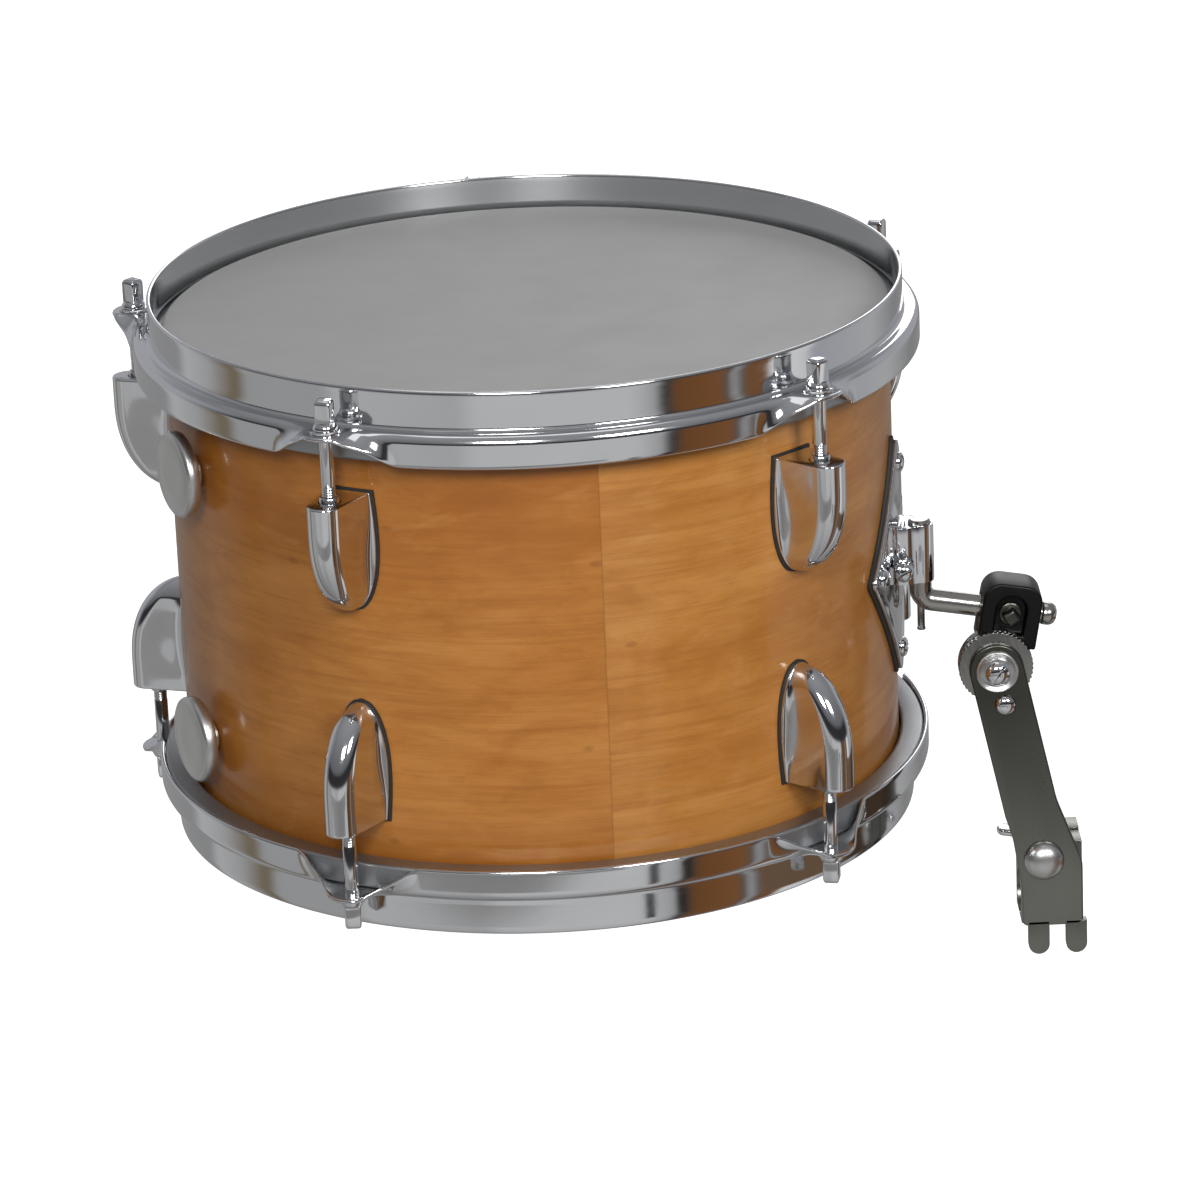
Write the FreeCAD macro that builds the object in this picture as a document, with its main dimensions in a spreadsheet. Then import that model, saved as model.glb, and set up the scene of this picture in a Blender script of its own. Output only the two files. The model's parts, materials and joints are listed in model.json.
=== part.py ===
import FreeCAD, Part
import Sketcher
import math
import os
from FreeCAD import Placement, Rotation, Vector

# A 12 x 8 inch rack tom with its rail-mounted holder, in millimetres.
# Frame: +Z is the drum's axis (batter head up), +X runs along the rail that the holder grips,
# and the origin is the middle of that rail's clamp.  The drummer sits on the -Y side.

doc = FreeCAD.newDocument("TomTomDrum")

# ---------------------------------------------------------------- driving dimensions
DRIVING = [
    ("drum_x", -212.5), ("drum_y", 30.58), ("drum_z", 159),
    ("shell_radius", 151.5), ("shell_wall", 5), ("half_depth", 101.5),
    ("edge_peak_inset", 1.6), ("edge_inner_drop", 4), ("edge_outer_drop", 1.5),
    ("ring_wall", 5), ("ring_height", 28),
    ("film_thickness", 0.4), ("film_radius", 152.3), ("film_collar_end", 94),
    ("flesh_outer", 161), ("flesh_low", 86.2), ("flesh_high", 97.2),
    ("sheet_gauge", 1.8), ("rim_radius", 157.4), ("rim_top", 115.2),
    ("skirt_radius", 164.2), ("skirt_low", 85.2), ("step_top", 99),
    ("ear_radius", 9.5), ("ear_hole_radius", 3.4),
    ("lug_count", 5), ("lug_angle", 25.2), ("rod_circle", 168),
    ("rod_radius", 2.9), ("rod_end", 50), ("rod_square", 6.6), ("rod_head_top", 112.5),
    ("rod_collar_radius", 5), ("rod_collar_height", 2),
    ("washer_radius", 6.2), ("washer_thickness", 1.2), ("running_fit", 0.06),
    ("lug_top", 70), ("lug_height", 50), ("lug_half_width", 12), ("lug_nose_radius", 8.5),
    ("lug_reach", 26.2), ("gasket_thickness", 0.8), ("lug_cavity_radius", 6),
    ("lug_hole_radius", 3.8), ("nut_radius", 5.6), ("nut_low", 48), ("nut_height", 16),
    ("screw_radius", 2.1), ("screw_head_radius", 4.2), ("screw_head_height", 2.4),
    ("lug_screw_low", 32), ("lug_screw_high", 60), ("lug_screw_reach", 7),
    ("muffler_angle", -154.8), ("muffler_level", 58), ("knob_radius", 18),
    ("knob_low", 156.2), ("knob_thickness", 6.8), ("knob_hub_radius", 7), ("spindle_radius", 3),
    ("spindle_inner", 138), ("cam_radius", 6), ("cam_offset", 2), ("cam_thickness", 4),
    ("damper_plate", 2), ("damper_half_width", 14), ("damper_pivot_radius", 134),
    ("damper_pivot_drop", 14), ("damper_pin_radius", 1.5), ("damper_ear_gauge", 1.6),
    ("pad_length", 30), ("pad_width", 40), ("pad_height", 10), ("pad_middle", 104),
    ("pad_top", 95.4), ("arm_strip_gauge", 1.5), ("arm_strip_width", 14),
    ("vent_angle", 133), ("vent_radius", 5),
    ("bracket_angle", -10.8), ("plate_half_width", 41), ("plate_half_height", 52),
    ("plate_level", -5),
    ("plate_gauge", 2), ("plate_gasket", 1.5), ("plate_gasket_margin", 1.6),
    ("plate_screw_side", 31), ("plate_screw_end", 41),
    ("leg_circle", 163.2), ("holder_rod_radius", 4.75), ("clamp_half_width", 9),
    ("clamp_outer", 169.1), ("clamp_low", -15.5), ("clamp_high", 9.5),
    ("clamp_bolt_circle", 158.6), ("clamp_bolt_level", -6), ("clamp_bolt_radius", 2.4),
    ("clamp_hub_radius", 3.5), ("clamp_hub_length", 8), ("clamp_head_radius", 4.2),
    ("clamp_head_length", 5), ("clamp_bolt_tip", 5.2),
    ("leg_top", 11.3), ("elbow_level", -24.13), ("rod_slope", 10), ("elbow_radius", 10),
    ("rod_reach", 53), ("rod_ball_radius", 4.9), ("elbow_stud_radius", 1.8), ("elbow_stud_end", -38),
    ("knuckle_reach", 37.69), ("knuckle_width", 25), ("knuckle_depth", 18), ("knuckle_up", 13.5),
    ("knuckle_down", 14), ("knuckle_round", 7.5), ("recess_radius", 8), ("recess_depth", 4),
    ("key_bolt_radius", 3), ("key_square", 6.4), ("key_flange_radius", 5.6),
    ("pivot_offset", -3), ("pivot_drop", 22.5), ("ratchet_radius", 15.8), ("ratchet_boss", 6),
    ("ratchet_gauge", 3), ("arm_gauge", 4), ("arm_half_width", 11.5), ("pivot_radius", 4),
    ("dish_radius", 10.3), ("dish_gauge", 2), ("dome_radius", 5.5), ("dome_height", 4),
    ("stop_pin_distance", 15.5), ("stop_pin_radius", 4.2),
    ("rail_radius", 9.6), ("jaw_half_width", 13), ("jaw_low", -10), ("jaw_high", 28),
    ("jaw_gap", 0.5), ("jaw_back", 12), ("finger_width", 9), ("finger_middle", 2),
    ("finger_offset", 8), ("finger_end", -23),
    ("rail_bolt_x", -3.5), ("rail_bolt_z", 20.2), ("rail_bolt_radius", 3.5),
    ("rail_dome_radius", 8.5), ("rail_dome_height", 5.5), ("wing_hub_radius", 6.5),
    ("wing_hub_length", 9), ("wing_reach", 17), ("wing_gauge", 3.2), ("wing_height", 11),
    ("part_gap", 0.1),
]

sheet = doc.addObject("Spreadsheet::Sheet", "Dims")
for row, (alias, value) in enumerate(DRIVING, start=1):
    sheet.set(f"A{row}", alias)
    sheet.set(f"B{row}", str(value))
    sheet.setAlias(f"B{row}", alias)
doc.recompute()


def dim(alias):
    """One driving dimension, read from the sheet."""
    return float(sheet.get(alias))


parts = {}


# ---------------------------------------------------------------- building helpers
def number(expression):
    """The present value of an expression over the sheet's cells."""
    value = sheet.evalExpression(expression)
    return float(getattr(value, "Value", value))


def place(obj, at=("0", "0", "0"), turn=None):
    """Bind an object's position to expressions and give it a fixed turn."""
    if turn is not None:
        obj.Placement = Placement(Vector(0, 0, 0), turn)
    for axis, expression in zip("xyz", at):
        obj.setExpression(f"Placement.Base.{axis}", expression)
    return obj


ALONG = {"Z": Rotation(), "X": Rotation(Vector(0, 1, 0), 90), "Y": Rotation(Vector(1, 0, 0), -90)}


def cylinder(name, radius, height, at=("0", "0", "0"), along="Z"):
    obj = doc.addObject("Part::Cylinder", name)
    obj.setExpression("Radius", radius)
    obj.setExpression("Height", height)
    return place(obj, at, ALONG[along])


def box(name, low, high):
    """A block between two corners given as expressions."""
    obj = doc.addObject("Part::Box", name)
    for side, a, b in zip(("Length", "Width", "Height"), low, high):
        obj.setExpression(side, f"({b}) - ({a})")
    return place(obj, low)


def fuse(name, pieces):
    obj = doc.addObject("Part::MultiFuse", name)
    obj.Shapes = pieces
    return obj


def cut(name, base, tool):
    obj = doc.addObject("Part::Cut", name)
    obj.Base, obj.Tool = base, tool
    return obj


def feature(name, shape):
    obj = doc.addObject("Part::Feature", name)
    obj.Shape = shape
    return obj


def origin_plane(body, role):
    return next(item for item in body.Origin.OriginFeatures if item.Role == role)


def revolved(name, outline):
    """A body turned about Z from an outline of (radius, height) expressions."""
    body = doc.addObject("PartDesign::Body", name)
    sketch = body.newObject("Sketcher::SketchObject", name + "_outline")
    sketch.AttachmentSupport = (origin_plane(body, "XZ_Plane"), [""])
    sketch.MapMode = "FlatFace"
    corners = [Vector(number(r), number(z), 0) for r, z in outline]
    count = len(corners)
    for i in range(count):
        sketch.addGeometry(Part.LineSegment(corners[i], corners[(i + 1) % count]), False)
    for i in range(count):
        sketch.addConstraint(Sketcher.Constraint("Coincident", i, 2, (i + 1) % count, 1))
    for i, (r, z) in enumerate(outline):
        for kind, expression, axis, value in (("X", r, -2, corners[i].x), ("Y", z, -1, corners[i].y)):
            if value == 0:
                sketch.addConstraint(Sketcher.Constraint("PointOnObject", i, 1, axis))
                continue
            index = sketch.addConstraint(Sketcher.Constraint("Distance" + kind, -1, 1, i, 1, value))
            sketch.renameConstraint(index, f"p{i}{kind}")
            sketch.setExpression(f"Constraints.p{i}{kind}", expression)
    turn = body.newObject("PartDesign::Revolution", name + "_turn")
    turn.Profile = sketch
    turn.ReferenceAxis = (sketch, ["V_Axis"])
    turn.Angle = 360
    body.Tip = turn
    return body


def seat(obj, angle="0", flip=False):
    """Stand a piece made about the drum's centre in its place, turned to an angle and, for the
    resonant side, turned over about its own radius."""
    text = ("create(<<placement>>; create(<<vector>>; Dims.drum_x; Dims.drum_y; Dims.drum_z); "
            f"create(<<rotation>>; create(<<vector>>; 0; 0; 1); {angle}))")
    if flip:
        text += (" * create(<<placement>>; create(<<vector>>; 0; 0; 0); "
                 "create(<<rotation>>; create(<<vector>>; 1; 0; 0); 180))")
    obj.setExpression("Placement", text)
    return obj


def drum_placement(angle=0.0, flip=False):
    """The same seat as a plain placement, for solids gathered into one node."""
    base = Placement(Vector(dim("drum_x"), dim("drum_y"), dim("drum_z")),
                     Rotation(Vector(0, 0, 1), angle))
    over = Placement(Vector(0, 0, 0), Rotation(Vector(1, 0, 0), 180 if flip else 0))
    return base * over


def node(label, obj):
    """Register a finished sub-part under the name of its file."""
    obj.Label = label
    parts[label] = obj
    return obj


def solid_rod(radius, start, end):
    """A plain round bar between two points."""
    return Part.makeCylinder(radius, (end - start).Length, start, end - start)


SIDES = (("batter", False), ("resonant", True))
LUG_STEP = 360 / dim("lug_count")


def lug_angles():
    return [dim("lug_angle") + LUG_STEP * k for k in range(int(dim("lug_count")))]


# ---------------------------------------------------------------- shell and rings
def make_shell():
    r, half = "Dims.shell_radius", "Dims.half_depth"
    inner, peak = f"{r} - Dims.shell_wall", f"{r} - Dims.edge_peak_inset"
    tube = revolved("shell_tube", [
        (inner, f"-({half} - Dims.edge_inner_drop)"), (peak, f"-{half}"),
        (r, f"-({half} - Dims.edge_outer_drop)"), (r, f"{half} - Dims.edge_outer_drop"),
        (peak, half), (inner, f"{half} - Dims.edge_inner_drop")])
    holes = []
    reach = dim("shell_radius") + 5
    start = dim("shell_radius") - dim("shell_wall") - 5

    def drill(angle, level, radius):
        out = Vector(math.cos(math.radians(angle)), math.sin(math.radians(angle)), 0)
        lift = Vector(0, 0, level)
        holes.append(solid_rod(radius, out * start + lift, out * reach + lift))

    for angle in lug_angles():
        for level in (dim("lug_screw_low"), dim("lug_screw_high")):
            for sign in (1, -1):
                drill(angle, sign * level, dim("screw_radius") + dim("running_fit"))
    for sign in (1, -1):
        drill(dim("muffler_angle"), sign * dim("muffler_level"),
              dim("spindle_radius") + dim("running_fit"))
    drill(dim("vent_angle"), 0, dim("vent_radius"))
    for turn, level in plate_screw_spots():
        drill(dim("bracket_angle") + turn, level, dim("screw_radius") + dim("running_fit"))
    tool = feature("shell_holes", Part.makeCompound(holes))
    node("shell", seat(cut("shell_drilled", tube, tool)))


def make_rings():
    outer = "Dims.shell_radius - Dims.shell_wall"
    inner = f"{outer} - Dims.ring_wall"
    top = "Dims.half_depth - Dims.edge_inner_drop"
    ring = revolved("ring_upper", [
        (inner, f"{top} - Dims.ring_height"), (outer, f"{top} - Dims.ring_height"), (outer, top),
        (inner, f"{top} - Dims.ring_wall")])
    lower = revolved("ring_lower", [
        (inner, f"-({top} - Dims.ring_height)"), (outer, f"-({top} - Dims.ring_height)"),
        (outer, f"-({top})"), (inner, f"-({top} - Dims.ring_wall)")])
    pair = doc.addObject("Part::Compound", "ring_pair")
    pair.Links = [ring, lower]
    node("reinforcement_rings", seat(pair))


# ---------------------------------------------------------------- heads and hoops
def make_head(side, flip):
    top, film = "Dims.half_depth", "Dims.film_thickness"
    radius = "Dims.film_radius"
    skin = revolved(side + "_film", [
        ("0", top), (f"{radius} - {film}", top), (f"{radius} - {film}", "Dims.film_collar_end"),
        (radius, "Dims.film_collar_end"), (radius, f"{top} + {film}"), ("0", f"{top} + {film}")])
    node(f"{side}_head_film", seat(skin, flip=flip))
    bevel = "1.2"
    hoop = revolved(side + "_flesh", [
        (radius, "Dims.flesh_low"), (f"Dims.flesh_outer - {bevel}", "Dims.flesh_low"),
        ("Dims.flesh_outer", f"Dims.flesh_low + {bevel}"),
        ("Dims.flesh_outer", f"Dims.flesh_high - {bevel}"),
        (f"Dims.flesh_outer - {bevel}", "Dims.flesh_high"), (radius, "Dims.flesh_high")])
    node(f"{side}_flesh_hoop", seat(hoop, flip=flip))


def make_hoop(side, flip):
    """A double-flanged hoop: an upright rim, a step over the flesh hoop and an outer skirt, with
    a flat ear at each tension rod."""
    gauge = "Dims.sheet_gauge"
    step_under = f"Dims.step_top - {gauge}"
    ring = revolved(side + "_ring", [
        (f"Dims.rim_radius - {gauge}", step_under),
        (f"Dims.skirt_radius - {gauge}", step_under),
        (f"Dims.skirt_radius - {gauge}", "Dims.skirt_low"), ("Dims.skirt_radius", "Dims.skirt_low"),
        ("Dims.skirt_radius", "Dims.step_top"), ("Dims.rim_radius", "Dims.step_top"),
        ("Dims.rim_radius", "Dims.rim_top"), (f"Dims.rim_radius - {gauge}", "Dims.rim_top")])
    ears, holes = [], []
    for k in range(int(dim("lug_count"))):
        angle = f"Dims.lug_angle + {LUG_STEP * k}"
        if flip:
            angle = f"-({angle})"
        x, y = f"Dims.rod_circle * cos(({angle}) * 1deg)", f"Dims.rod_circle * sin(({angle}) * 1deg)"
        ears.append(cylinder(f"{side}_ear_{k + 1}", "Dims.ear_radius", gauge, (x, y, step_under)))
        holes.append(cylinder(f"{side}_ear_hole_{k + 1}", "Dims.ear_hole_radius", f"3 * {gauge}",
                              (x, y, f"{step_under} - {gauge}")))
    body = fuse(side + "_hoop_body", [ring] + ears)
    node(f"{side}_hoop", seat(cut(side + "_hoop_cut", body, fuse(side + "_hoop_holes", holes)),
                              flip=flip))


# ---------------------------------------------------------------- lugs
def lug_outline(margin=0.0):
    """The lug's foot seen along its radius, as (sideways, height) wires: a square-shouldered top,
    straight sides and a round lower end."""
    half = dim("lug_half_width") + margin
    top = dim("lug_top") + margin
    low = dim("lug_top") - dim("lug_height") - margin
    shoulder = half * 0.35
    bend = low + half * 1.55
    x = dim("shell_radius") - 20
    at = [Vector(x, -half, top - shoulder), Vector(x, -half + shoulder * 0.3, top - shoulder * 0.3),
          Vector(x, -half + shoulder, top), Vector(x, half - shoulder, top),
          Vector(x, half - shoulder * 0.3, top - shoulder * 0.3), Vector(x, half, top - shoulder)]
    edges = [Part.Arc(at[0], at[1], at[2]).toShape(), Part.LineSegment(at[2], at[3]).toShape(),
             Part.Arc(at[3], at[4], at[5]).toShape(),
             Part.LineSegment(at[5], Vector(x, half, bend)).toShape(),
             Part.Arc(Vector(x, half, bend), Vector(x, 0, low), Vector(x, -half, bend)).toShape(),
             Part.LineSegment(Vector(x, -half, bend), at[0]).toShape()]
    return Part.Wire(edges)


def shell_tube(inner, outer, level=0.0, height=400.0):
    low = Vector(0, 0, level - height / 2)
    return Part.makeCylinder(outer, height, low).cut(Part.makeCylinder(inner, height, low))


def foot_prism(margin=0.0):
    return Part.Face(lug_outline(margin)).extrude(Vector(60, 0, 0))


def lug_section(level):
    """One level of the lug's body: a foot as wide as the outline and a round nose over it."""
    top, tall = dim("lug_top"), dim("lug_height")
    down = (top - level) / tall
    fade = math.sqrt(max(0.0, 1 - down ** 2.6))
    half = max(1.2, dim("lug_half_width") * min(1.0, 1.35 * math.sqrt(max(0.0, 1 - down ** 1.7))))
    nose = max(0.9, dim("lug_nose_radius") * (0.45 + 0.55 * fade))
    nose = min(nose, half - 0.2)
    foot = dim("shell_radius") - 3
    reach = dim("shell_radius") + max(2.2, dim("lug_reach") * fade)
    middle = reach - nose
    corners = [Vector(foot, -half, level), Vector(foot, half, level),
               Vector(middle, nose, level), Vector(middle, -nose, level)]
    return Part.Wire([
        Part.LineSegment(corners[0], corners[1]).toShape(),
        Part.LineSegment(corners[1], corners[2]).toShape(),
        Part.Arc(corners[2], Vector(reach, 0, level), corners[3]).toShape(),
        Part.LineSegment(corners[3], corners[0]).toShape()])


def lug_casing_shape():
    top, tall = dim("lug_top"), dim("lug_height")
    levels = [top - tall * f for f in (0.0, 0.2, 0.4, 0.6, 0.75, 0.87, 0.95, 1.0)]
    body = Part.makeLoft([lug_section(level) for level in levels], True, False)
    inner = dim("shell_radius") + dim("gasket_thickness")
    plate = foot_prism().common(shell_tube(inner, inner + 1.6))
    body = body.cut(Part.makeCylinder(inner, 400, Vector(0, 0, -200))).fuse(plate)
    axis = Vector(dim("rod_circle"), 0, 0)
    cavity = Part.makeCylinder(dim("lug_cavity_radius"), dim("nut_height") + 4,
                               axis + Vector(0, 0, dim("nut_low") - 2))
    mouth = Part.makeCylinder(dim("lug_hole_radius"), tall, axis + Vector(0, 0, dim("nut_low")))
    body = body.cut(cavity).cut(mouth)
    for level in (dim("lug_screw_low"), dim("lug_screw_high")):
        start = Vector(inner - 2, 0, level)
        end = Vector(inner + dim("lug_screw_reach") + 1, 0, level)
        body = body.cut(solid_rod(dim("screw_radius") + dim("running_fit"), start, end))
    return body


def radial_screw(level, inner_face, reach):
    """A round-headed screw driven outward through the shell from inside."""
    start = Vector(inner_face - dim("part_gap"), 0, level)
    shank = solid_rod(dim("screw_radius"), start, Vector(reach, 0, level))
    head = solid_rod(dim("screw_head_radius"), start - Vector(dim("screw_head_height"), 0, 0), start)
    return shank.fuse(head)


def make_lugs():
    casing = lug_casing_shape()
    radius, gasket = dim("shell_radius"), dim("gasket_thickness")
    pad = foot_prism(0.7).common(shell_tube(radius, radius + gasket))
    nut = Part.makeCylinder(dim("nut_radius"), dim("nut_height"),
                            Vector(dim("rod_circle"), 0, dim("nut_low")))
    nut = nut.cut(Part.makeCylinder(dim("rod_radius") + dim("running_fit"), 60,
                                    Vector(dim("rod_circle"), 0, dim("nut_low") - 20)))
    pads, nuts, screws = [], [], []
    inside = radius - dim("shell_wall")
    for level in (dim("lug_screw_low"), dim("lug_screw_high")):
        hole = solid_rod(dim("screw_radius") + dim("running_fit"),
                         Vector(inside, 0, level), Vector(radius + 9, 0, level))
        pad = pad.cut(hole)
    for side, flip in SIDES:
        for k, angle in enumerate(lug_angles(), start=1):
            spot = drum_placement(angle, flip)
            lug = node(f"{side}_lug_{k}", feature(f"{side}_casing_{k}", casing.copy()))
            lug.Placement = spot
            for gathered, shape in ((pads, pad), (nuts, nut)):
                piece = shape.copy()
                piece.Placement = spot
                gathered.append(piece)
            for level in (dim("lug_screw_low"), dim("lug_screw_high")):
                screw = radial_screw(level, inside, radius + gasket + dim("lug_screw_reach"))
                screw.Placement = spot
                screws.append(screw)
    node("lug_gaskets", feature("gasket_set", Part.makeCompound(pads)))
    node("lug_swivel_nuts", feature("nut_set", Part.makeCompound(nuts)))
    node("lug_screws", feature("lug_screw_set", Part.makeCompound(screws)))


# ---------------------------------------------------------------- tension rods
def make_tension_rods():
    seat_top = "Dims.step_top + Dims.washer_thickness"
    half = "Dims.rod_square / 2"
    for side, flip in SIDES:
        for k in range(int(dim("lug_count"))):
            name = f"{side}_rod_{k + 1}"
            shaft = cylinder(name + "_shaft", "Dims.rod_radius", f"{seat_top} + 1 - Dims.rod_end",
                             ("Dims.rod_circle", "0", "Dims.rod_end"))
            collar = cylinder(name + "_collar", "Dims.rod_collar_radius", "Dims.rod_collar_height",
                              ("Dims.rod_circle", "0", seat_top))
            head = box(name + "_head", (f"Dims.rod_circle - {half}", f"-{half}", seat_top),
                       (f"Dims.rod_circle + {half}", half, "Dims.rod_head_top"))
            rod = fuse(name + "_body", [shaft, collar, head])
            node(f"{side}_tension_rod_{k + 1}", seat(rod, f"Dims.lug_angle + {LUG_STEP * k}", flip))
    washer = Part.makeCylinder(dim("washer_radius"), dim("washer_thickness"),
                               Vector(dim("rod_circle"), 0, dim("step_top")))
    washer = washer.cut(Part.makeCylinder(dim("rod_radius") + dim("running_fit"), 40,
                                          Vector(dim("rod_circle"), 0, dim("step_top") - 20)))
    washers = []
    for side, flip in SIDES:
        for angle in lug_angles():
            piece = washer.copy()
            piece.Placement = drum_placement(angle, flip)
            washers.append(piece)
    node("tension_rod_washers", feature("washer_set", Part.makeCompound(washers)))


# ---------------------------------------------------------------- internal mufflers
def make_muffler(side, flip):
    """A round knob outside the shell turns a cam that lifts a felt pad against the head."""
    level, angle = "Dims.muffler_level", "Dims.muffler_angle"
    inside = "Dims.shell_radius - Dims.shell_wall"

    def own(text):
        return f"{side}_{text}"

    disc = cylinder(own("knob_disc"), "Dims.knob_radius", "Dims.knob_thickness",
                    ("Dims.knob_low", "0", level), "X")
    hub = cylinder(own("knob_hub"), "Dims.knob_hub_radius", "4",
                   ("Dims.knob_low - 4", "0", level), "X")
    bore = cylinder(own("knob_bore"), "Dims.spindle_radius", "Dims.knob_thickness + 1",
                    ("Dims.knob_low - 4.5", "0", level), "X")
    knob = cut(own("knob_cut"), fuse(own("knob_body"), [disc, hub]), bore)
    node(own("muffler_knob"), seat(knob, angle, flip))

    rod = cylinder(own("spindle_rod"), "Dims.spindle_radius",
                   "Dims.knob_low + Dims.knob_thickness - 4.5 - Dims.spindle_inner + 0.5",
                   ("Dims.spindle_inner", "0", level), "X")
    cam = cylinder(own("spindle_cam"), "Dims.cam_radius", "Dims.cam_thickness",
                   ("Dims.spindle_inner", "0", f"{level} - Dims.cam_offset"), "X")
    node(own("muffler_spindle"), seat(fuse(own("spindle_body"), [rod, cam]), angle, flip))

    pivot = f"{level} - Dims.damper_pivot_drop"
    face = f"{inside} - 1.6 - Dims.damper_plate"
    half = "Dims.damper_half_width"
    plate = box(own("bracket_plate"), (face, f"-{half}", f"{pivot} - 12"),
                (f"{face} + Dims.damper_plate", half, f"{level} + 8"))
    ears = [box(own(f"bracket_ear_{i}"), ("Dims.damper_pivot_radius - 4", low, f"{pivot} - 5"),
                (f"{face} + 0.5", high, f"{pivot} + 4"))
            for i, (low, high) in enumerate(((f"-{half}", f"-{half} + Dims.damper_ear_gauge"),
                                             (f"{half} - Dims.damper_ear_gauge", half)))]
    spindle_hole = cylinder(own("bracket_hole"), "Dims.spindle_radius + Dims.running_fit", "12",
                            (f"{face} - 4", "0", level), "X")
    pin_hole = cylinder(own("bracket_pin_hole"), "Dims.damper_pin_radius + Dims.running_fit", "60",
                        ("Dims.damper_pivot_radius", "-30", pivot), "Y")
    feet = [cylinder(own(f"bracket_foot_{i}"), "3.4", "1.1",
                     (f"{face} + Dims.damper_plate - 0.1", y, f"{pivot} - 7"), "X")
            for i, y in enumerate(("-8", "8"))]
    bracket = cut(own("bracket_cut"), fuse(own("bracket_body"), [plate] + ears + feet),
                  fuse(own("bracket_holes"), [spindle_hole, pin_hole]))
    node(own("muffler_bracket"), seat(bracket, angle, flip))

    strip = "Dims.arm_strip_gauge"
    wide = "Dims.arm_strip_width / 2"
    pad_low = "Dims.pad_top - Dims.pad_height"
    hinge = cylinder(own("arm_hinge"), "2.6", f"2 * ({half} - Dims.damper_ear_gauge - 0.3)",
                     ("Dims.damper_pivot_radius", f"-({half} - Dims.damper_ear_gauge - 0.3)", pivot),
                     "Y")
    pin = cylinder(own("arm_pin"), "Dims.damper_pin_radius", f"2 * {half}",
                   ("Dims.damper_pivot_radius", f"-{half}", pivot), "Y")
    upright = box(own("arm_upright"), (f"Dims.damper_pivot_radius - {strip} / 2", f"-{wide}", pivot),
                  (f"Dims.damper_pivot_radius + {strip} / 2", wide, pad_low))
    tray = box(own("arm_tray"), ("Dims.pad_middle - Dims.pad_length / 2", f"-{wide}",
                                 f"{pad_low} - {strip}"),
               (f"Dims.damper_pivot_radius + {strip} / 2", wide, pad_low))
    arm = fuse(own("arm_body"), [hinge, pin, upright, tray])
    node(own("muffler_arm"), seat(arm, angle, flip))

    pad = box(own("pad_block"), ("Dims.pad_middle - Dims.pad_length / 2", "-Dims.pad_width / 2",
                                 pad_low),
              ("Dims.pad_middle + Dims.pad_length / 2", "Dims.pad_width / 2", "Dims.pad_top"))
    node(own("muffler_felt_pad"), seat(pad, angle, flip))


def make_vent():
    outer = "Dims.shell_radius"
    flange = cylinder("vent_flange", "Dims.vent_radius + 3.5", "1.4", (f"{outer} - 0.4", "0", "0"), "X")
    barrel = cylinder("vent_barrel", "Dims.vent_radius", "Dims.shell_wall + 1.2",
                      (f"{outer} - Dims.shell_wall - 0.8", "0", "0"), "X")
    hole = cylinder("vent_bore", "Dims.vent_radius - 1", "30", (f"{outer} - 15", "0", "0"), "X")
    inside = cylinder("vent_trim", outer, "40", ("0", "0", "-20"))
    collar = cut("vent_collar", flange, inside)
    node("vent_grommet", seat(cut("vent_cut", fuse("vent_body", [collar, barrel]), hole),
                              "Dims.vent_angle"))


# ---------------------------------------------------------------- bracket on the shell
def diamond_prism(margin=0.0):
    """The bracket's long diamond, with its four corners rounded off."""
    wide, tall = dim("plate_half_width") + margin, dim("plate_half_height") + margin
    x = dim("shell_radius") - 30
    level = dim("plate_level")
    corners = [Vector(x, 0, level + tall), Vector(x, wide, level), Vector(x, 0, level - tall),
               Vector(x, -wide, level)]
    prism = Part.Face(Part.makePolygon(corners + corners[:1])).extrude(Vector(60, 0, 0))
    upright = [e for e in prism.Edges if abs(e.tangentAt(e.FirstParameter).x) > 0.99]
    return prism.makeFillet(4, upright)


def plate_screw_spots():
    """The bracket's four screws, as (turn from its middle in degrees, level)."""
    side = math.degrees(dim("plate_screw_side") / dim("shell_radius"))
    level, end = dim("plate_level"), dim("plate_screw_end")
    return ((-side, level), (side, level), (0, level + end), (0, level - end))


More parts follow.
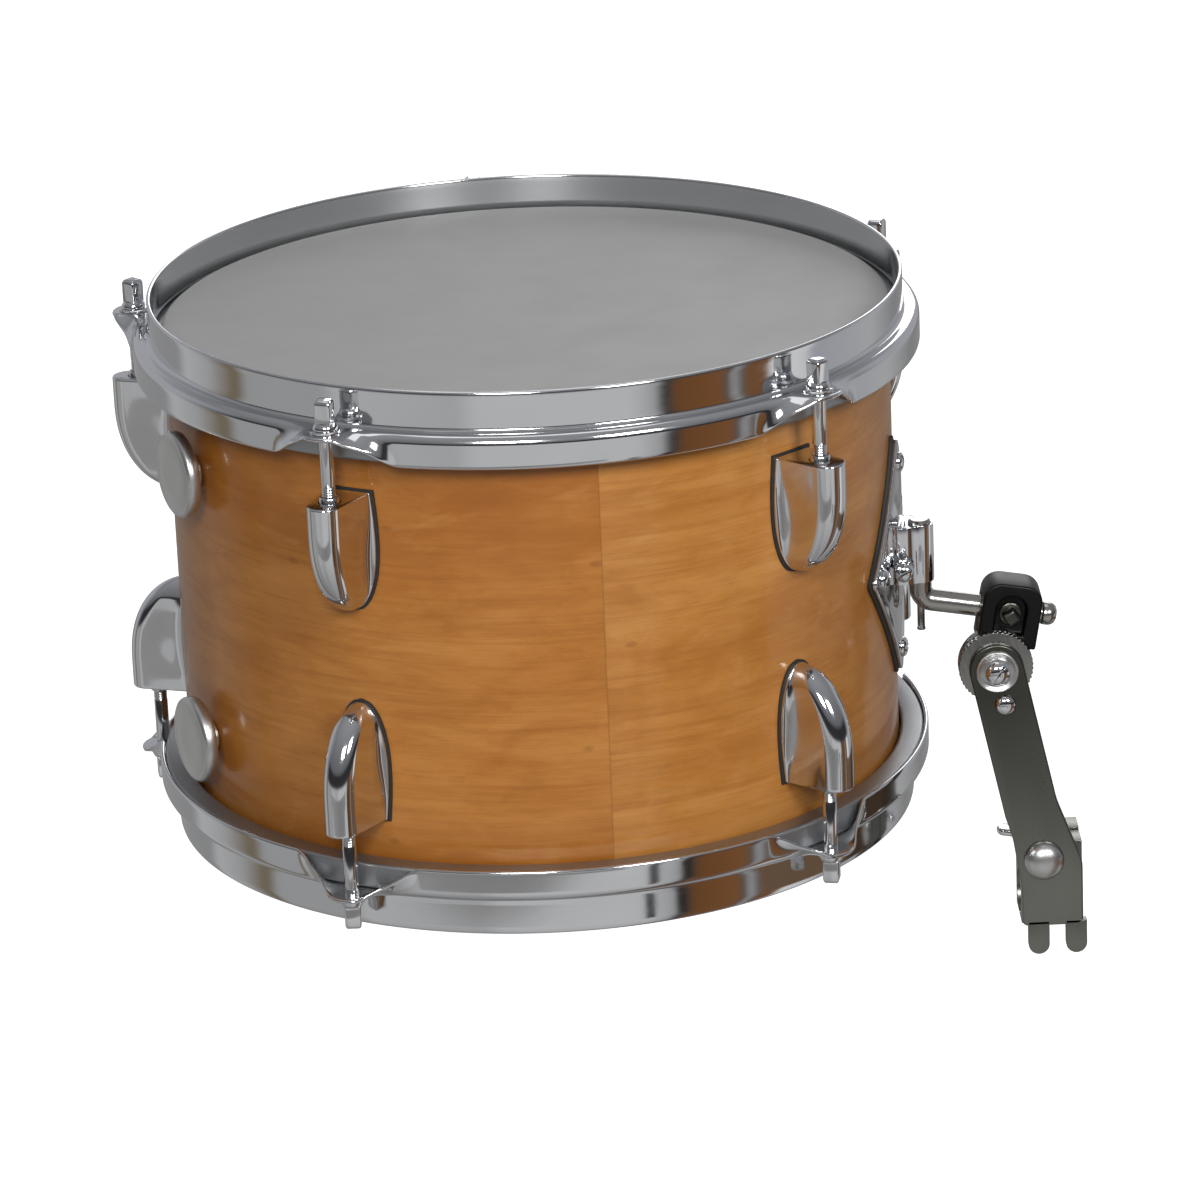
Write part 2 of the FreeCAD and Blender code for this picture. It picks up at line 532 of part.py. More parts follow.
def make_bracket():
    angle = dim("bracket_angle")
    radius, gasket, gauge = dim("shell_radius"), dim("plate_gasket"), dim("plate_gauge")
    drill = []
    for turn, level in plate_screw_spots():
        hole = solid_rod(dim("screw_radius") + dim("running_fit"),
                         Vector(radius - 20, 0, level), Vector(radius + 20, 0, level))
        hole.rotate(Vector(0, 0, 0), Vector(0, 0, 1), turn)
        drill.append(hole)
    holes = Part.makeCompound(drill)
    pad = diamond_prism(dim("plate_gasket_margin")).common(shell_tube(radius, radius + gasket))
    plate = diamond_prism().common(shell_tube(radius + gasket, radius + gasket + gauge))
    seat_at = drum_placement(angle)
    for label, shape in (("bracket_gasket", pad), ("bracket_plate", plate)):
        piece = node(label, feature(label + "_shape", shape.cut(holes)))
        piece.Placement = seat_at

    screws = []
    outside = radius + gasket + gauge
    for turn, level in plate_screw_spots():
        screw = solid_rod(dim("screw_radius"), Vector(radius - dim("shell_wall") - 3, 0, level),
                          Vector(outside + 1, 0, level))
        head = solid_rod(dim("screw_head_radius"), Vector(outside, 0, level),
                         Vector(outside + dim("screw_head_height"), 0, level))
        screw = screw.fuse(head)
        screw.rotate(Vector(0, 0, 0), Vector(0, 0, 1), turn)
        screw.Placement = seat_at * screw.Placement
        screws.append(screw)
    node("bracket_screws", feature("bracket_screw_set", Part.makeCompound(screws)))

    face = "Dims.shell_radius + Dims.plate_gasket + Dims.plate_gauge"
    block = box("clamp_block", (face, "-Dims.clamp_half_width", "Dims.clamp_low"),
                ("Dims.leg_circle", "Dims.clamp_half_width", "Dims.clamp_high"))
    nose = cylinder("clamp_nose", "Dims.clamp_outer - Dims.leg_circle",
                    "Dims.clamp_high - Dims.clamp_low", ("Dims.leg_circle", "0", "Dims.clamp_low"))
    leg_bore = cylinder("clamp_leg_bore", "Dims.holder_rod_radius + Dims.running_fit", "80",
                        ("Dims.leg_circle", "0", "-40"))
    bolt_bore = cylinder("clamp_bolt_bore", "Dims.clamp_bolt_radius + Dims.running_fit", "30",
                         ("Dims.clamp_bolt_circle", "-30", "Dims.clamp_bolt_level"), "Y")
    clamp = cut("clamp_cut", fuse("clamp_body", [block, nose]),
                fuse("clamp_bores", [leg_bore, bolt_bore]))
    node("bracket_clamp", seat(clamp, "Dims.bracket_angle"))

    side, spot, level = "Dims.clamp_half_width", "Dims.clamp_bolt_circle", "Dims.clamp_bolt_level"
    hub_end = f"-{side} - Dims.part_gap - Dims.clamp_hub_length"
    head_end = f"{hub_end} - Dims.clamp_head_length"
    shank = cylinder("clamp_bolt_shank", "Dims.clamp_bolt_radius",
                     f"-Dims.clamp_bolt_tip - ({hub_end})", (spot, hub_end, level), "Y")
    hub = cylinder("clamp_bolt_hub", "Dims.clamp_hub_radius", "Dims.clamp_hub_length",
                   (spot, hub_end, level), "Y")
    head = cylinder("clamp_bolt_head", "Dims.clamp_head_radius", "Dims.clamp_head_length",
                    (spot, head_end, level), "Y")
    node("clamp_key_bolt", seat(fuse("clamp_bolt_body", [shank, hub, head]), "Dims.bracket_angle"))


# ---------------------------------------------------------------- holder
def leg_axis():
    """Where the holder rod's upright leg stands, at the drum's mid height."""
    turn = math.radians(dim("bracket_angle"))
    return Vector(dim("drum_x") + dim("leg_circle") * math.cos(turn),
                  dim("drum_y") + dim("leg_circle") * math.sin(turn), dim("drum_z"))


def rod_direction():
    slope = math.radians(dim("rod_slope"))
    return Vector(math.cos(slope), 0, -math.sin(slope))


def knuckle_centre():
    return leg_axis() + Vector(0, 0, dim("elbow_level")) + rod_direction() * dim("knuckle_reach")


def knuckle_frame():
    """The knuckle's own frame: X along the holder rod, Y away from the drummer."""
    return Placement(knuckle_centre(), Rotation(Vector(0, 1, 0), dim("rod_slope")))


def pivot_point():
    return knuckle_frame().multVec(Vector(dim("pivot_offset"), 0, -dim("pivot_drop")))


def make_holder_rod():
    radius, bend = dim("holder_rod_radius"), dim("elbow_radius")
    corner = leg_axis() + Vector(0, 0, dim("elbow_level"))
    along, up = rod_direction(), Vector(0, 0, 1)
    half_turn = math.acos(max(-1.0, min(1.0, along.dot(-up)))) / 2
    setback = bend * math.tan(half_turn)
    start, before = leg_axis() + Vector(0, 0, dim("leg_top")), corner + up * setback
    after, end = corner + along * setback, corner + along * dim("rod_reach")
    inward = (up + along).normalize()
    centre = corner + inward * (bend / math.cos(half_turn))
    crown = centre - inward * bend
    path = Part.Wire([Part.LineSegment(start, before).toShape(),
                      Part.Arc(before, crown, after).toShape(),
                      Part.LineSegment(after, end).toShape()])
    profile = Part.Wire(Part.makeCircle(radius, start, up))
    rod = path.makePipeShell([profile], True, False)
    ball = Part.makeSphere(dim("rod_ball_radius"), end)
    stud = solid_rod(dim("elbow_stud_radius"), corner,
                     leg_axis() + Vector(0, 0, dim("elbow_stud_end")))
    node("holder_rod", feature("holder_rod_shape", rod.fuse([ball, stud])))


def make_knuckle():
    frame = knuckle_frame()
    wide, deep = dim("knuckle_width"), dim("knuckle_depth")
    housing = Part.makeBox(wide, deep, dim("knuckle_up") + dim("knuckle_down"),
                           Vector(-wide / 2, -deep / 2, -dim("knuckle_down")))
    crown = [e for e in housing.Edges
             if abs(e.tangentAt(e.FirstParameter).y) > 0.99 and e.CenterOfMass.z > 0]
    housing = housing.makeFillet(dim("knuckle_round"), crown)
    pivot = Vector(dim("pivot_offset"), 0, -dim("pivot_drop"))
    front = Vector(0, -deep / 2, 0)
    boss = solid_rod(dim("ratchet_radius"), pivot + front,
                     pivot + front + Vector(0, dim("ratchet_boss"), 0))
    body = housing.fuse(boss)
    fit = dim("running_fit")
    cuts = [
        solid_rod(dim("holder_rod_radius") + fit, Vector(-60, 0, 0), Vector(60, 0, 0)),
        solid_rod(dim("recess_radius"), front - Vector(0, 1, 0), front + Vector(0, dim("recess_depth"), 0)),
        solid_rod(dim("key_bolt_radius") + fit, front, Vector(0, -dim("holder_rod_radius") + 1, 0)),
        solid_rod(dim("pivot_radius") + fit, pivot - Vector(0, 60, 0), pivot + Vector(0, 60, 0)),
    ]
    knuckle = node("knuckle", feature("knuckle_shape", body.cut(cuts)))
    knuckle.Placement = frame

    floor = front + Vector(0, dim("recess_depth"), 0)
    tip = Vector(0, -dim("holder_rod_radius") - dim("part_gap"), 0)
    shank = solid_rod(dim("key_bolt_radius"), floor - Vector(0, 2, 0), tip)
    flange = solid_rod(dim("key_flange_radius"), floor - Vector(0, 1.6 + dim("part_gap"), 0),
                       floor - Vector(0, dim("part_gap"), 0))
    half = dim("key_square") / 2
    square = Part.makeBox(2 * half, 7, 2 * half, floor + Vector(-half, -8, -half))
    square.rotate(floor, Vector(0, 1, 0), 45)
    bolt = node("knuckle_key_bolt", feature("key_bolt_shape", shank.fuse([flange, square])))
    bolt.Placement = frame


def arm_frame():
    """The arm's own frame: origin at the ratchet pivot, Z up the arm towards it."""
    pivot = pivot_point()
    foot = Vector(dim("rail_bolt_x"), 0, dim("rail_bolt_z"))
    lean = math.degrees(math.atan2(foot.x - pivot.x, pivot.z - foot.z))
    return Placement(pivot, Rotation(Vector(0, 1, 0), -lean)), (pivot - foot).Length


def dome(radius, height, base, direction):
    """A shallow round button head: the cap of a sphere."""
    ball_radius = (radius ** 2 + height ** 2) / (2 * height)
    centre = base + direction * (height - ball_radius)
    keep = solid_rod(radius, base, base + direction * (height + 1))
    return Part.makeSphere(ball_radius, centre).common(keep)


def make_arm_and_ratchet():
    frame, length = arm_frame()
    fit = dim("running_fit")
    outward, inward = Vector(0, -1, 0), Vector(0, 1, 0)
    boss_face = Vector(0, -dim("knuckle_depth") / 2 - dim("part_gap"), 0)
    disc_front = boss_face + outward * dim("ratchet_gauge")
    arm_front = disc_front + outward * dim("arm_gauge")
    pivot_hole = solid_rod(dim("pivot_radius") + fit, inward * 60, outward * 60)

    disc = solid_rod(dim("ratchet_radius"), boss_face, disc_front).cut(pivot_hole)
    node("ratchet_disc", feature("ratchet_disc_shape", disc)).Placement = frame

    half = dim("arm_half_width")
    bar = solid_rod(half, disc_front, arm_front)
    bar = bar.fuse(Part.makeBox(2 * half, dim("arm_gauge"), length,
                                Vector(-half, arm_front.y, -length)))
    bar = bar.cut(pivot_hole)
    bar.Placement = frame
    wide, low, high = dim("jaw_half_width"), dim("jaw_low"), dim("jaw_high")
    foot = Part.makeBox(2 * wide, dim("arm_gauge"), high - low, Vector(-wide, arm_front.y, low))
    jaw = Part.makeBox(2 * wide, -disc_front.y - dim("jaw_gap"), high - low,
                       Vector(-wide, disc_front.y, low))
    tabs = []
    for sign in (-1, 1):
        middle = dim("finger_middle") + sign * dim("finger_offset")
        tab = Part.makeBox(dim("finger_width"), dim("arm_gauge"), low - dim("finger_end") + 1,
                           Vector(middle - dim("finger_width") / 2, arm_front.y, dim("finger_end")))
        tabs.append(tab)
    arm = bar.fuse([foot, jaw] + tabs)
    rail = solid_rod(dim("rail_radius"), Vector(-60, 0, 0), Vector(60, 0, 0))
    bolt_axis = Vector(dim("rail_bolt_x"), 0, dim("rail_bolt_z"))
    bolt_hole = solid_rod(dim("rail_bolt_radius") + fit, bolt_axis + outward * 60,
                          bolt_axis + inward * 60)
    arm = arm.cut([rail, bolt_hole])
    node("holder_arm", feature("holder_arm_shape", arm.removeSplitter()))

    rear = Part.makeBox(2 * wide, dim("jaw_back") - dim("jaw_gap"), high - low,
                        Vector(-wide, dim("jaw_gap"), low)).cut([rail, bolt_hole])
    node("rail_jaw", feature("rail_jaw_shape", rear))

    dish_base = arm_front
    dish_rim = Part.makeCone(dim("dish_radius"), dim("dish_radius") - 1.5, dim("dish_gauge"),
                             dish_base, outward).cut(pivot_hole)
    node("dished_washer", feature("dished_washer_shape", dish_rim)).Placement = frame
    bolt_seat = arm_front + outward * dim("dish_gauge")
    tail = Vector(0, -dim("knuckle_depth") / 2 + dim("ratchet_boss") + 6, 0)
    head = dome(dim("dome_radius"), dim("dome_height"), bolt_seat, outward)
    bolt = solid_rod(dim("pivot_radius"), bolt_seat, tail).fuse(head)
    node("ratchet_bolt", feature("ratchet_bolt_shape", bolt)).Placement = frame
    nut_face = Vector(0, -dim("knuckle_depth") / 2 + dim("ratchet_boss") + dim("part_gap"), 0)
    hexagon = [nut_face + Vector(6.5 * math.cos(math.radians(60 * k)), 0,
                                 6.5 * math.sin(math.radians(60 * k))) for k in range(7)]
    nut = Part.Face(Part.makePolygon(hexagon)).extrude(Vector(0, 5, 0)).cut(pivot_hole)
    node("ratchet_nut", feature("ratchet_nut_shape", nut)).Placement = frame

    pin_base = arm_front + Vector(0, 0, -dim("stop_pin_distance"))
    pin = dome(dim("stop_pin_radius"), 3, pin_base, outward)
    node("arm_stop_pin", feature("arm_stop_pin_shape", pin)).Placement = frame

    rail_head = dome(dim("rail_dome_radius"), dim("rail_dome_height"),
                     bolt_axis + arm_front, outward)
    nut_start = bolt_axis + inward * (dim("jaw_back") + dim("part_gap"))
    nut_end = nut_start + inward * dim("wing_hub_length")
    rail_bolt = rail_head.fuse(solid_rod(dim("rail_bolt_radius"), bolt_axis + arm_front,
                                         nut_end + inward * 3))
    node("rail_bolt", feature("rail_bolt_shape", rail_bolt))
    hub = solid_rod(dim("wing_hub_radius"), nut_start, nut_end)
    wings = Part.makeBox(2 * dim("wing_reach"), dim("wing_height"), dim("wing_gauge"),
                         nut_start + Vector(-dim("wing_reach"), 2, -dim("wing_gauge") / 2))
    wing_nut = hub.fuse(wings).cut(bolt_hole)
    node("rail_wing_nut", feature("rail_wing_nut_shape", wing_nut))


# ---------------------------------------------------------------- whole model
make_shell()
make_rings()
for side_name, turned_over in SIDES:
    make_head(side_name, turned_over)
    make_hoop(side_name, turned_over)
    make_muffler(side_name, turned_over)
make_lugs()
make_tension_rods()
make_vent()
make_bracket()
make_holder_rod()
make_knuckle()
make_arm_and_ratchet()
doc.recompute()

problems = [f"{obj.Name}: {obj.State}" for obj in doc.Objects
            if "Invalid" in obj.State or "Error" in obj.State]
problems += [f"{label}: bad shape" for label, obj in parts.items()
             if obj.Shape.isNull() or not obj.Shape.isValid()]
if problems:
    raise RuntimeError("; ".join(problems))

os.makedirs("parts", exist_ok=True)
for label, obj in parts.items():
    obj.Shape.exportStep(os.path.join("parts", label + ".step"))
print(len(parts), "nodes;",
      "tension axis circle", dim("rod_circle"), "pivot", pivot_point(),
      "leg", leg_axis(), "knuckle", knuckle_centre())
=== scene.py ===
import json
import math
import random

import bmesh
import bpy
from mathutils import Matrix, Vector


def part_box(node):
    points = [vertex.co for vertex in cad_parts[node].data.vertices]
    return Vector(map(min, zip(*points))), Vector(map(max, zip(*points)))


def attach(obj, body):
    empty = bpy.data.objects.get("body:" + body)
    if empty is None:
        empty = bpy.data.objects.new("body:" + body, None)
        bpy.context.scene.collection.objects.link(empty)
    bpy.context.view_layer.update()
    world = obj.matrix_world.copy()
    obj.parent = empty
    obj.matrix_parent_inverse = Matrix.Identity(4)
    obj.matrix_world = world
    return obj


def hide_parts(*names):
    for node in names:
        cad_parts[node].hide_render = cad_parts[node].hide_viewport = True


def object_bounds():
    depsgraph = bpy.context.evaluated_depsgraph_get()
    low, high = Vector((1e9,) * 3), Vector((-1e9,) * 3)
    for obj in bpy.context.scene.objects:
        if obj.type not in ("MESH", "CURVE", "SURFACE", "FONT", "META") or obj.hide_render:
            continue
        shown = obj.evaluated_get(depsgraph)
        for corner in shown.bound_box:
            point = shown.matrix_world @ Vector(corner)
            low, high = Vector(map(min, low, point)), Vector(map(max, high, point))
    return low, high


# A 12 x 8 inch rack tom on its rail holder.  Lengths inside the helpers are millimetres measured
# from the drum's centre (or from a piece's own frame); MM turns them into the scene's metres.

MM = 0.001
TAU = 2 * math.pi
FLOOR_DROP = 0.14
FLOOR_GLOW = 0.80
random.seed(12)

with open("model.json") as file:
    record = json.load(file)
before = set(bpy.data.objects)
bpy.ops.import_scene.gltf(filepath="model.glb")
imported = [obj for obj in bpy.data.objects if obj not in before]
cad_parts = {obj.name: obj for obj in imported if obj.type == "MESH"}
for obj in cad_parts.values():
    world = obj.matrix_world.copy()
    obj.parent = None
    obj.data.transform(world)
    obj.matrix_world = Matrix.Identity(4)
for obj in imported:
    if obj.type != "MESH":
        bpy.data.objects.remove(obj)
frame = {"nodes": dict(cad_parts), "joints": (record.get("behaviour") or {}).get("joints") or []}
cad_low, cad_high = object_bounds()
nodes = frame["nodes"]
SIDES = (("batter", False), ("resonant", True))


def box_mm(node):
    """A CAD node's two corners, in millimetres."""
    low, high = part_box(node)
    return Vector(low) / MM, Vector(high) / MM


def middle_mm(node):
    low, high = box_mm(node)
    return (low + high) / 2


# ---------------------------------------------------------------- sizes taken from the frame
shell_low, shell_high = box_mm("shell")
DRUM = (shell_low + shell_high) / 2
SHELL_R = (shell_high.x - shell_low.x) / 2
HALF = (shell_high.z - shell_low.z) / 2
SHELL_WALL = 5.0
RIM_TOP = box_mm("batter_hoop")[1].z - DRUM.z
SKIRT_LOW = box_mm("batter_hoop")[0].z - DRUM.z
RIM_R = 157.4
SKIRT_R = 164.2
STEP_TOP = 99.0
SHEET = 1.8
EAR_REACH = 177.2
LUG_TOP = box_mm("batter_lug_1")[1].z - DRUM.z
GASKET = 0.8


def polar(node):
    """A node's angle about the drum's axis, its radius and its height, seen from the centre."""
    at = middle_mm(node) - DRUM
    return math.atan2(at.y, at.x), math.hypot(at.x, at.y), at.z


ROD_ANGLES = [polar(f"batter_tension_rod_{k}")[0] for k in range(1, 6)]
ROD_R = polar("batter_tension_rod_1")[1]
ROD_HEAD_TOP = box_mm("batter_tension_rod_1")[1].z - DRUM.z
ROD_END = box_mm("batter_tension_rod_1")[0].z - DRUM.z
KNOB_ANGLE, _, KNOB_LEVEL = polar("batter_muffler_knob")
BRACKET_ANGLE = math.atan2(middle_mm("bracket_clamp").y - DRUM.y, middle_mm("bracket_clamp").x - DRUM.x)
VENT_ANGLE = polar("vent_grommet")[0]
joints = {j["name"]: j for j in frame["joints"]}


def joint_mm(name):
    return Vector(joints[name]["pos_m"]) / MM


# ---------------------------------------------------------------- frames
Z_TO_X = Matrix.Rotation(math.pi / 2, 4, "Y")
Z_TO_PLAYER = Matrix.Rotation(math.pi / 2, 4, "X")


def seat(angle, flip=False):
    """From a frame whose X is the radius at an angle into the scene, in millimetres."""
    over = Matrix.Rotation(math.pi, 4, "X") if flip else Matrix.Identity(4)
    return Matrix.Translation(DRUM) @ Matrix.Rotation(angle, 4, "Z") @ over


def lug_seats():
    """Each lug's side, its number and its own frame, whose X is the radius through its rod."""
    for side, flip in SIDES:
        for k, angle in enumerate(ROD_ANGLES, start=1):
            yield side, k, seat(angle, flip)


def rod_seats():
    """The same frames moved out to the tension rods' own axes."""
    for side, k, place in lug_seats():
        yield side, k, place @ Matrix.Translation((ROD_R, 0, 0))


# ---------------------------------------------------------------- mesh helpers
def add_mesh(name, verts, faces, material, place=None, smooth=True):
    """One mesh object in metres from millimetre points, in a placed frame."""
    place = place or Matrix.Identity(4)
    mesh = bpy.data.meshes.new(name)
    mesh.from_pydata([tuple((place @ Vector(v)) * MM) for v in verts], [], faces)
    mesh.update()
    mesh.validate()
    obj = bpy.data.objects.new(name, mesh)
    bpy.context.scene.collection.objects.link(obj)
    tidy_mesh(obj)
    obj.data.materials.append(material)
    for polygon in mesh.polygons:
        polygon.use_smooth = smooth
    return obj


def tidy_mesh(obj, merge=1e-7):
    bm = bmesh.new()
    bm.from_mesh(obj.data)
    bmesh.ops.remove_doubles(bm, verts=bm.verts, dist=merge)
    bmesh.ops.dissolve_degenerate(bm, edges=bm.edges, dist=merge)
    bmesh.ops.recalc_face_normals(bm, faces=bm.faces)
    bm.to_mesh(obj.data)
    bm.free()


def apply_modifiers(obj):
    view = bpy.context.evaluated_depsgraph_get()
    made = bpy.data.meshes.new_from_object(obj.evaluated_get(view))
    old = obj.data
    obj.modifiers.clear()
    obj.data = made
    bpy.data.meshes.remove(old)
    return obj


def bevelled(obj, width, segments=3, angle=35):
    """Round the sharp edges and keep the flats flat."""
    mod = obj.modifiers.new("bevel", "BEVEL")
    mod.width = width * MM
    mod.segments = segments
    mod.limit_method = "ANGLE"
    mod.angle_limit = math.radians(angle)
    mod.harden_normals = False
    apply_modifiers(obj)
    shade(obj)
    return obj


def shade(obj, angle=40):
    """Smooth shading with sharp edges kept where the surface really turns."""
    for polygon in obj.data.polygons:
        polygon.use_smooth = True
    bm = bmesh.new()
    bm.from_mesh(obj.data)
    limit = math.radians(angle)
    for edge in bm.edges:
        edge.smooth = not (len(edge.link_faces) == 2 and edge.calc_face_angle(0) > limit)
    bm.to_mesh(obj.data)
    bm.free()
    return obj


def carve(obj, tools):
    """Cut closed tools out of a closed piece."""
    for tool in tools:
        mod = obj.modifiers.new("cut", "BOOLEAN")
        mod.operation = "DIFFERENCE"
        mod.solver = "EXACT"
        mod.object = tool
        apply_modifiers(obj)
    for tool in tools:
        bpy.data.objects.remove(tool, do_unlink=True)
    return obj


def join(name, objs):
    """Several meshes as one piece."""
    bm = bmesh.new()
    for obj in objs:
        bm.from_mesh(obj.data)
    mesh = bpy.data.meshes.new(name)
    bm.to_mesh(mesh)
    bm.free()
    for material in objs[0].data.materials:
        mesh.materials.append(material)
    for obj in objs:
        bpy.data.objects.remove(obj, do_unlink=True)
    made = bpy.data.objects.new(name, mesh)
    bpy.context.scene.collection.objects.link(made)
    return made


def grid_faces(rows, cols, close_rows=False):
    """Faces between closed rings of points, and between the last ring and the first if asked."""
    faces = []
    for i in range(rows if close_rows else rows - 1):
        here, after = i * cols, ((i + 1) % rows) * cols
        for j in range(cols):
            n = (j + 1) % cols
            faces.append((here + j, here + n, after + n, after + j))
    return faces


def loft(name, rings, material, place=None):
    """A closed piece through rings of points, with its first and last ring capped."""
    count, total = len(rings[0]), len(rings) * len(rings[0])
    faces = grid_faces(len(rings), count)
    faces += [tuple(range(count)), tuple(reversed(range(total - count, total)))]
    return add_mesh(name, [tuple(p) for ring in rings for p in ring], faces, material, place)


def turned(name, profile, material, place=None, segments=96, closed=False):
    """A turned piece from (radius, height) points; the ends on the axis become caps."""
    verts, faces, rings = [], [], []
    for r, z in profile:
        if r < 1e-6:
            rings.append([len(verts)])
            verts.append((0, 0, z))
            continue
        rings.append(range(len(verts), len(verts) + segments))
        verts += [(r * math.cos(TAU * k / segments), r * math.sin(TAU * k / segments), z)
                  for k in range(segments)]
    pairs = list(zip(rings, rings[1:])) + ([(rings[-1], rings[0])] if closed else [])
    for low, high in pairs:
        for k in range(segments):
            n = (k + 1) % segments
            if len(low) == 1 and len(high) == 1:
                continue
            if len(low) == 1:
                faces.append((low[0], high[n], high[k]))
            elif len(high) == 1:
                faces.append((low[k], low[n], high[0]))
            else:
                faces.append((low[k], low[n], high[n], high[k]))
    return shade(add_mesh(name, verts, faces, material, place))


def curve(start, corner, end, t):
    """A point on the curve that leaves start towards a corner and comes into end from it."""
    return start * (1 - t) ** 2 + corner * 2 * t * (1 - t) + end * t ** 2


def toward(degrees):
    """A unit step on a flat drawing, at an angle from its first axis."""
    return Vector((math.cos(math.radians(degrees)), math.sin(math.radians(degrees))))


def rounded(points, radius, steps=5):
    """A polyline whose inner corners are replaced by arcs."""
    out = [points[0]]
    for before, corner, after in zip(points, points[1:], points[2:]):
        p, c, n = Vector(before), Vector(corner), Vector(after)
        a, b = (p - c), (n - c)
        reach = min(radius, a.length * 0.45, b.length * 0.45)
        start, end = c + a.normalized() * reach, c + b.normalized() * reach
        out += [tuple(curve(start, c, end, i / steps)) for i in range(steps + 1)]
    out.append(points[-1])
    return out


def bore(radius, place, material, segments=48, reach=40):
    """A round cutting tool along the Z of a frame, centred on its origin."""
    outline = [(0, -reach), (radius, -reach), (radius, reach), (0, reach)]
    return turned("bore", outline, material, place, segments)


def along(origin, direction):
    """A frame with its Z along a direction."""
    turn = Vector(direction).normalized().to_track_quat("Z", "Y").to_matrix().to_4x4()
    return Matrix.Translation(origin) @ turn


def block(name, low, high, material, place=None):
    x0, y0, z0 = low
    x1, y1, z1 = high
    verts = [(x, y, z) for x in (x0, x1) for y in (y0, y1) for z in (z0, z1)]
    faces = [(0, 1, 3, 2), (4, 6, 7, 5), (0, 4, 5, 1), (2, 3, 7, 6), (0, 2, 6, 4), (1, 5, 7, 3)]
    return add_mesh(name, verts, faces, material, place, smooth=False)


def prism(name, outline, depth, material, place=None):
    """A flat outline in X and Z, drawn out along Y from depth[0] to depth[1]."""
    count = len(outline)
    verts = [(x, depth[0], z) for x, z in outline] + [(x, depth[1], z) for x, z in outline]
    faces = [tuple(range(count)), tuple(reversed(range(count, 2 * count)))]
    faces += [(k, k + count, (k + 1) % count + count, (k + 1) % count) for k in range(count)]
    return add_mesh(name, verts, faces, material, place, smooth=False)


def arc(centre, radius, start, end, steps):
    """Points on a circle, angles in degrees."""
    return [(centre[0] + radius * math.cos(math.radians(start + (end - start) * i / steps)),
             centre[1] + radius * math.sin(math.radians(start + (end - start) * i / steps)))
            for i in range(steps + 1)]


def smooth_step(x):
    x = max(0.0, min(1.0, x))
    return x * x * (3 - 2 * x)


def finish_piece(obj, body, replaced=()):
    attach(obj, body)
    if replaced:
        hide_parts(*replaced)
    return obj


# ---------------------------------------------------------------- materials
def new_material(name):
    """A fresh node material and the helper that wires it."""
    material = bpy.data.materials.new(name)
    material.use_nodes = True
    return material, Net(material.node_tree)


class Net:
    """Short hand for wiring shader nodes."""

    def __init__(self, tree):
        self.tree = tree
        self.shader = tree.nodes.get("Principled BSDF")

    def add(self, kind, **settings):
        made = self.tree.nodes.new(kind)
        for key, value in settings.items():
            setattr(made, key, value)
        return made

    def link(self, source, target):
        self.tree.links.new(source, target)

    def put(self, value, socket):
        if isinstance(value, bpy.types.NodeSocket):
            self.link(value, socket)
        else:
            socket.default_value = value

    def feed(self, socket, value):
        """Give one of the shader's inputs a plain number, a colour or a node's result."""
        self.put(value, self.shader.inputs[socket])

    def math(self, operation, a, b=0.0):
        made = self.add("ShaderNodeMath", operation=operation)
        self.put(a, made.inputs[0])
        self.put(b, made.inputs[1])
        return made.outputs[0]

    def times(self, a, b):
        return self.math("MULTIPLY", a, b)

    def vector(self, x, y, z):
        made = self.add("ShaderNodeCombineXYZ")
        for value, socket in zip((x, y, z), made.inputs):
            self.put(value, socket)
        return made.outputs[0]

    def split(self, vector):
        """A vector's X, Y and Z."""
        made = self.add("ShaderNodeSeparateXYZ")
        self.link(vector, made.inputs[0])
        return made.outputs[0], made.outputs[1], made.outputs[2]

    def noise(self, vector, scale, detail=4.0, roughness=0.55, distortion=0.0):
        made = self.add("ShaderNodeTexNoise")
        self.link(vector, made.inputs["Vector"])
        for socket, value in (("Scale", scale), ("Detail", detail), ("Roughness", roughness),
                              ("Distortion", distortion)):
            made.inputs[socket].default_value = value
        return made.outputs["Fac"]

    def ramp(self, value, stops):
        made = self.add("ShaderNodeValToRGB")
        self.link(value, made.inputs[0])
        elements = made.color_ramp.elements
        while len(elements) < len(stops):
            elements.new(0.5)
        for element, (position, colour) in zip(elements, stops):
            element.position = position
            element.color = (*colour, 1)
        return made.outputs[0]

    def remap(self, value, low, high, from_low=0.0, from_high=1.0):
        made = self.add("ShaderNodeMapRange")
        for key, number in (("From Min", from_low), ("From Max", from_high), ("To Min", low),
                            ("To Max", high)):
            made.inputs[key].default_value = number
        self.link(value, made.inputs["Value"])
        return made.outputs[0]

    def mix(self, factor, a, b, blend="MIX"):
        made = self.add("ShaderNodeMix", data_type="RGBA", blend_type=blend)
        self.put(factor, made.inputs[0])
        self.put((*a, 1) if isinstance(a, tuple) else a, made.inputs[6])
        self.put((*b, 1) if isinstance(b, tuple) else b, made.inputs[7])
        return made.outputs[2]

    def scaled(self, vector, scale):
        made = self.add("ShaderNodeMapping")
        self.link(vector, made.inputs["Vector"])
        made.inputs["Scale"].default_value = scale
        return made.outputs[0]

    def bump(self, height, strength, distance):
        made = self.add("ShaderNodeBump")
        made.inputs["Strength"].default_value = strength
        made.inputs["Distance"].default_value = distance
        self.link(height, made.inputs["Height"])
        return made.outputs["Normal"]

    def surface(self, colour, roughness, relief, strength, depth):
        """Give the surface its colour, its roughness and its fine bumps."""
        self.feed("Base Color", colour)
        self.feed("Roughness", roughness)
        self.feed("Normal", self.bump(relief, strength, depth))

    def place(self):
        return self.add("ShaderNodeTexCoord").outputs["Object"]

    def around_drum(self):
        """The angle, radius and height of a surface point about the drum's axis."""
        x, y, z = (self.math("SUBTRACT", part, middle * MM)
                   for part, middle in zip(self.split(self.place()), DRUM))
        radius = self.math("SQRT", self.math("ADD", self.times(x, x), self.times(y, y)))
        return self.math("ARCTAN2", y, x), radius, z


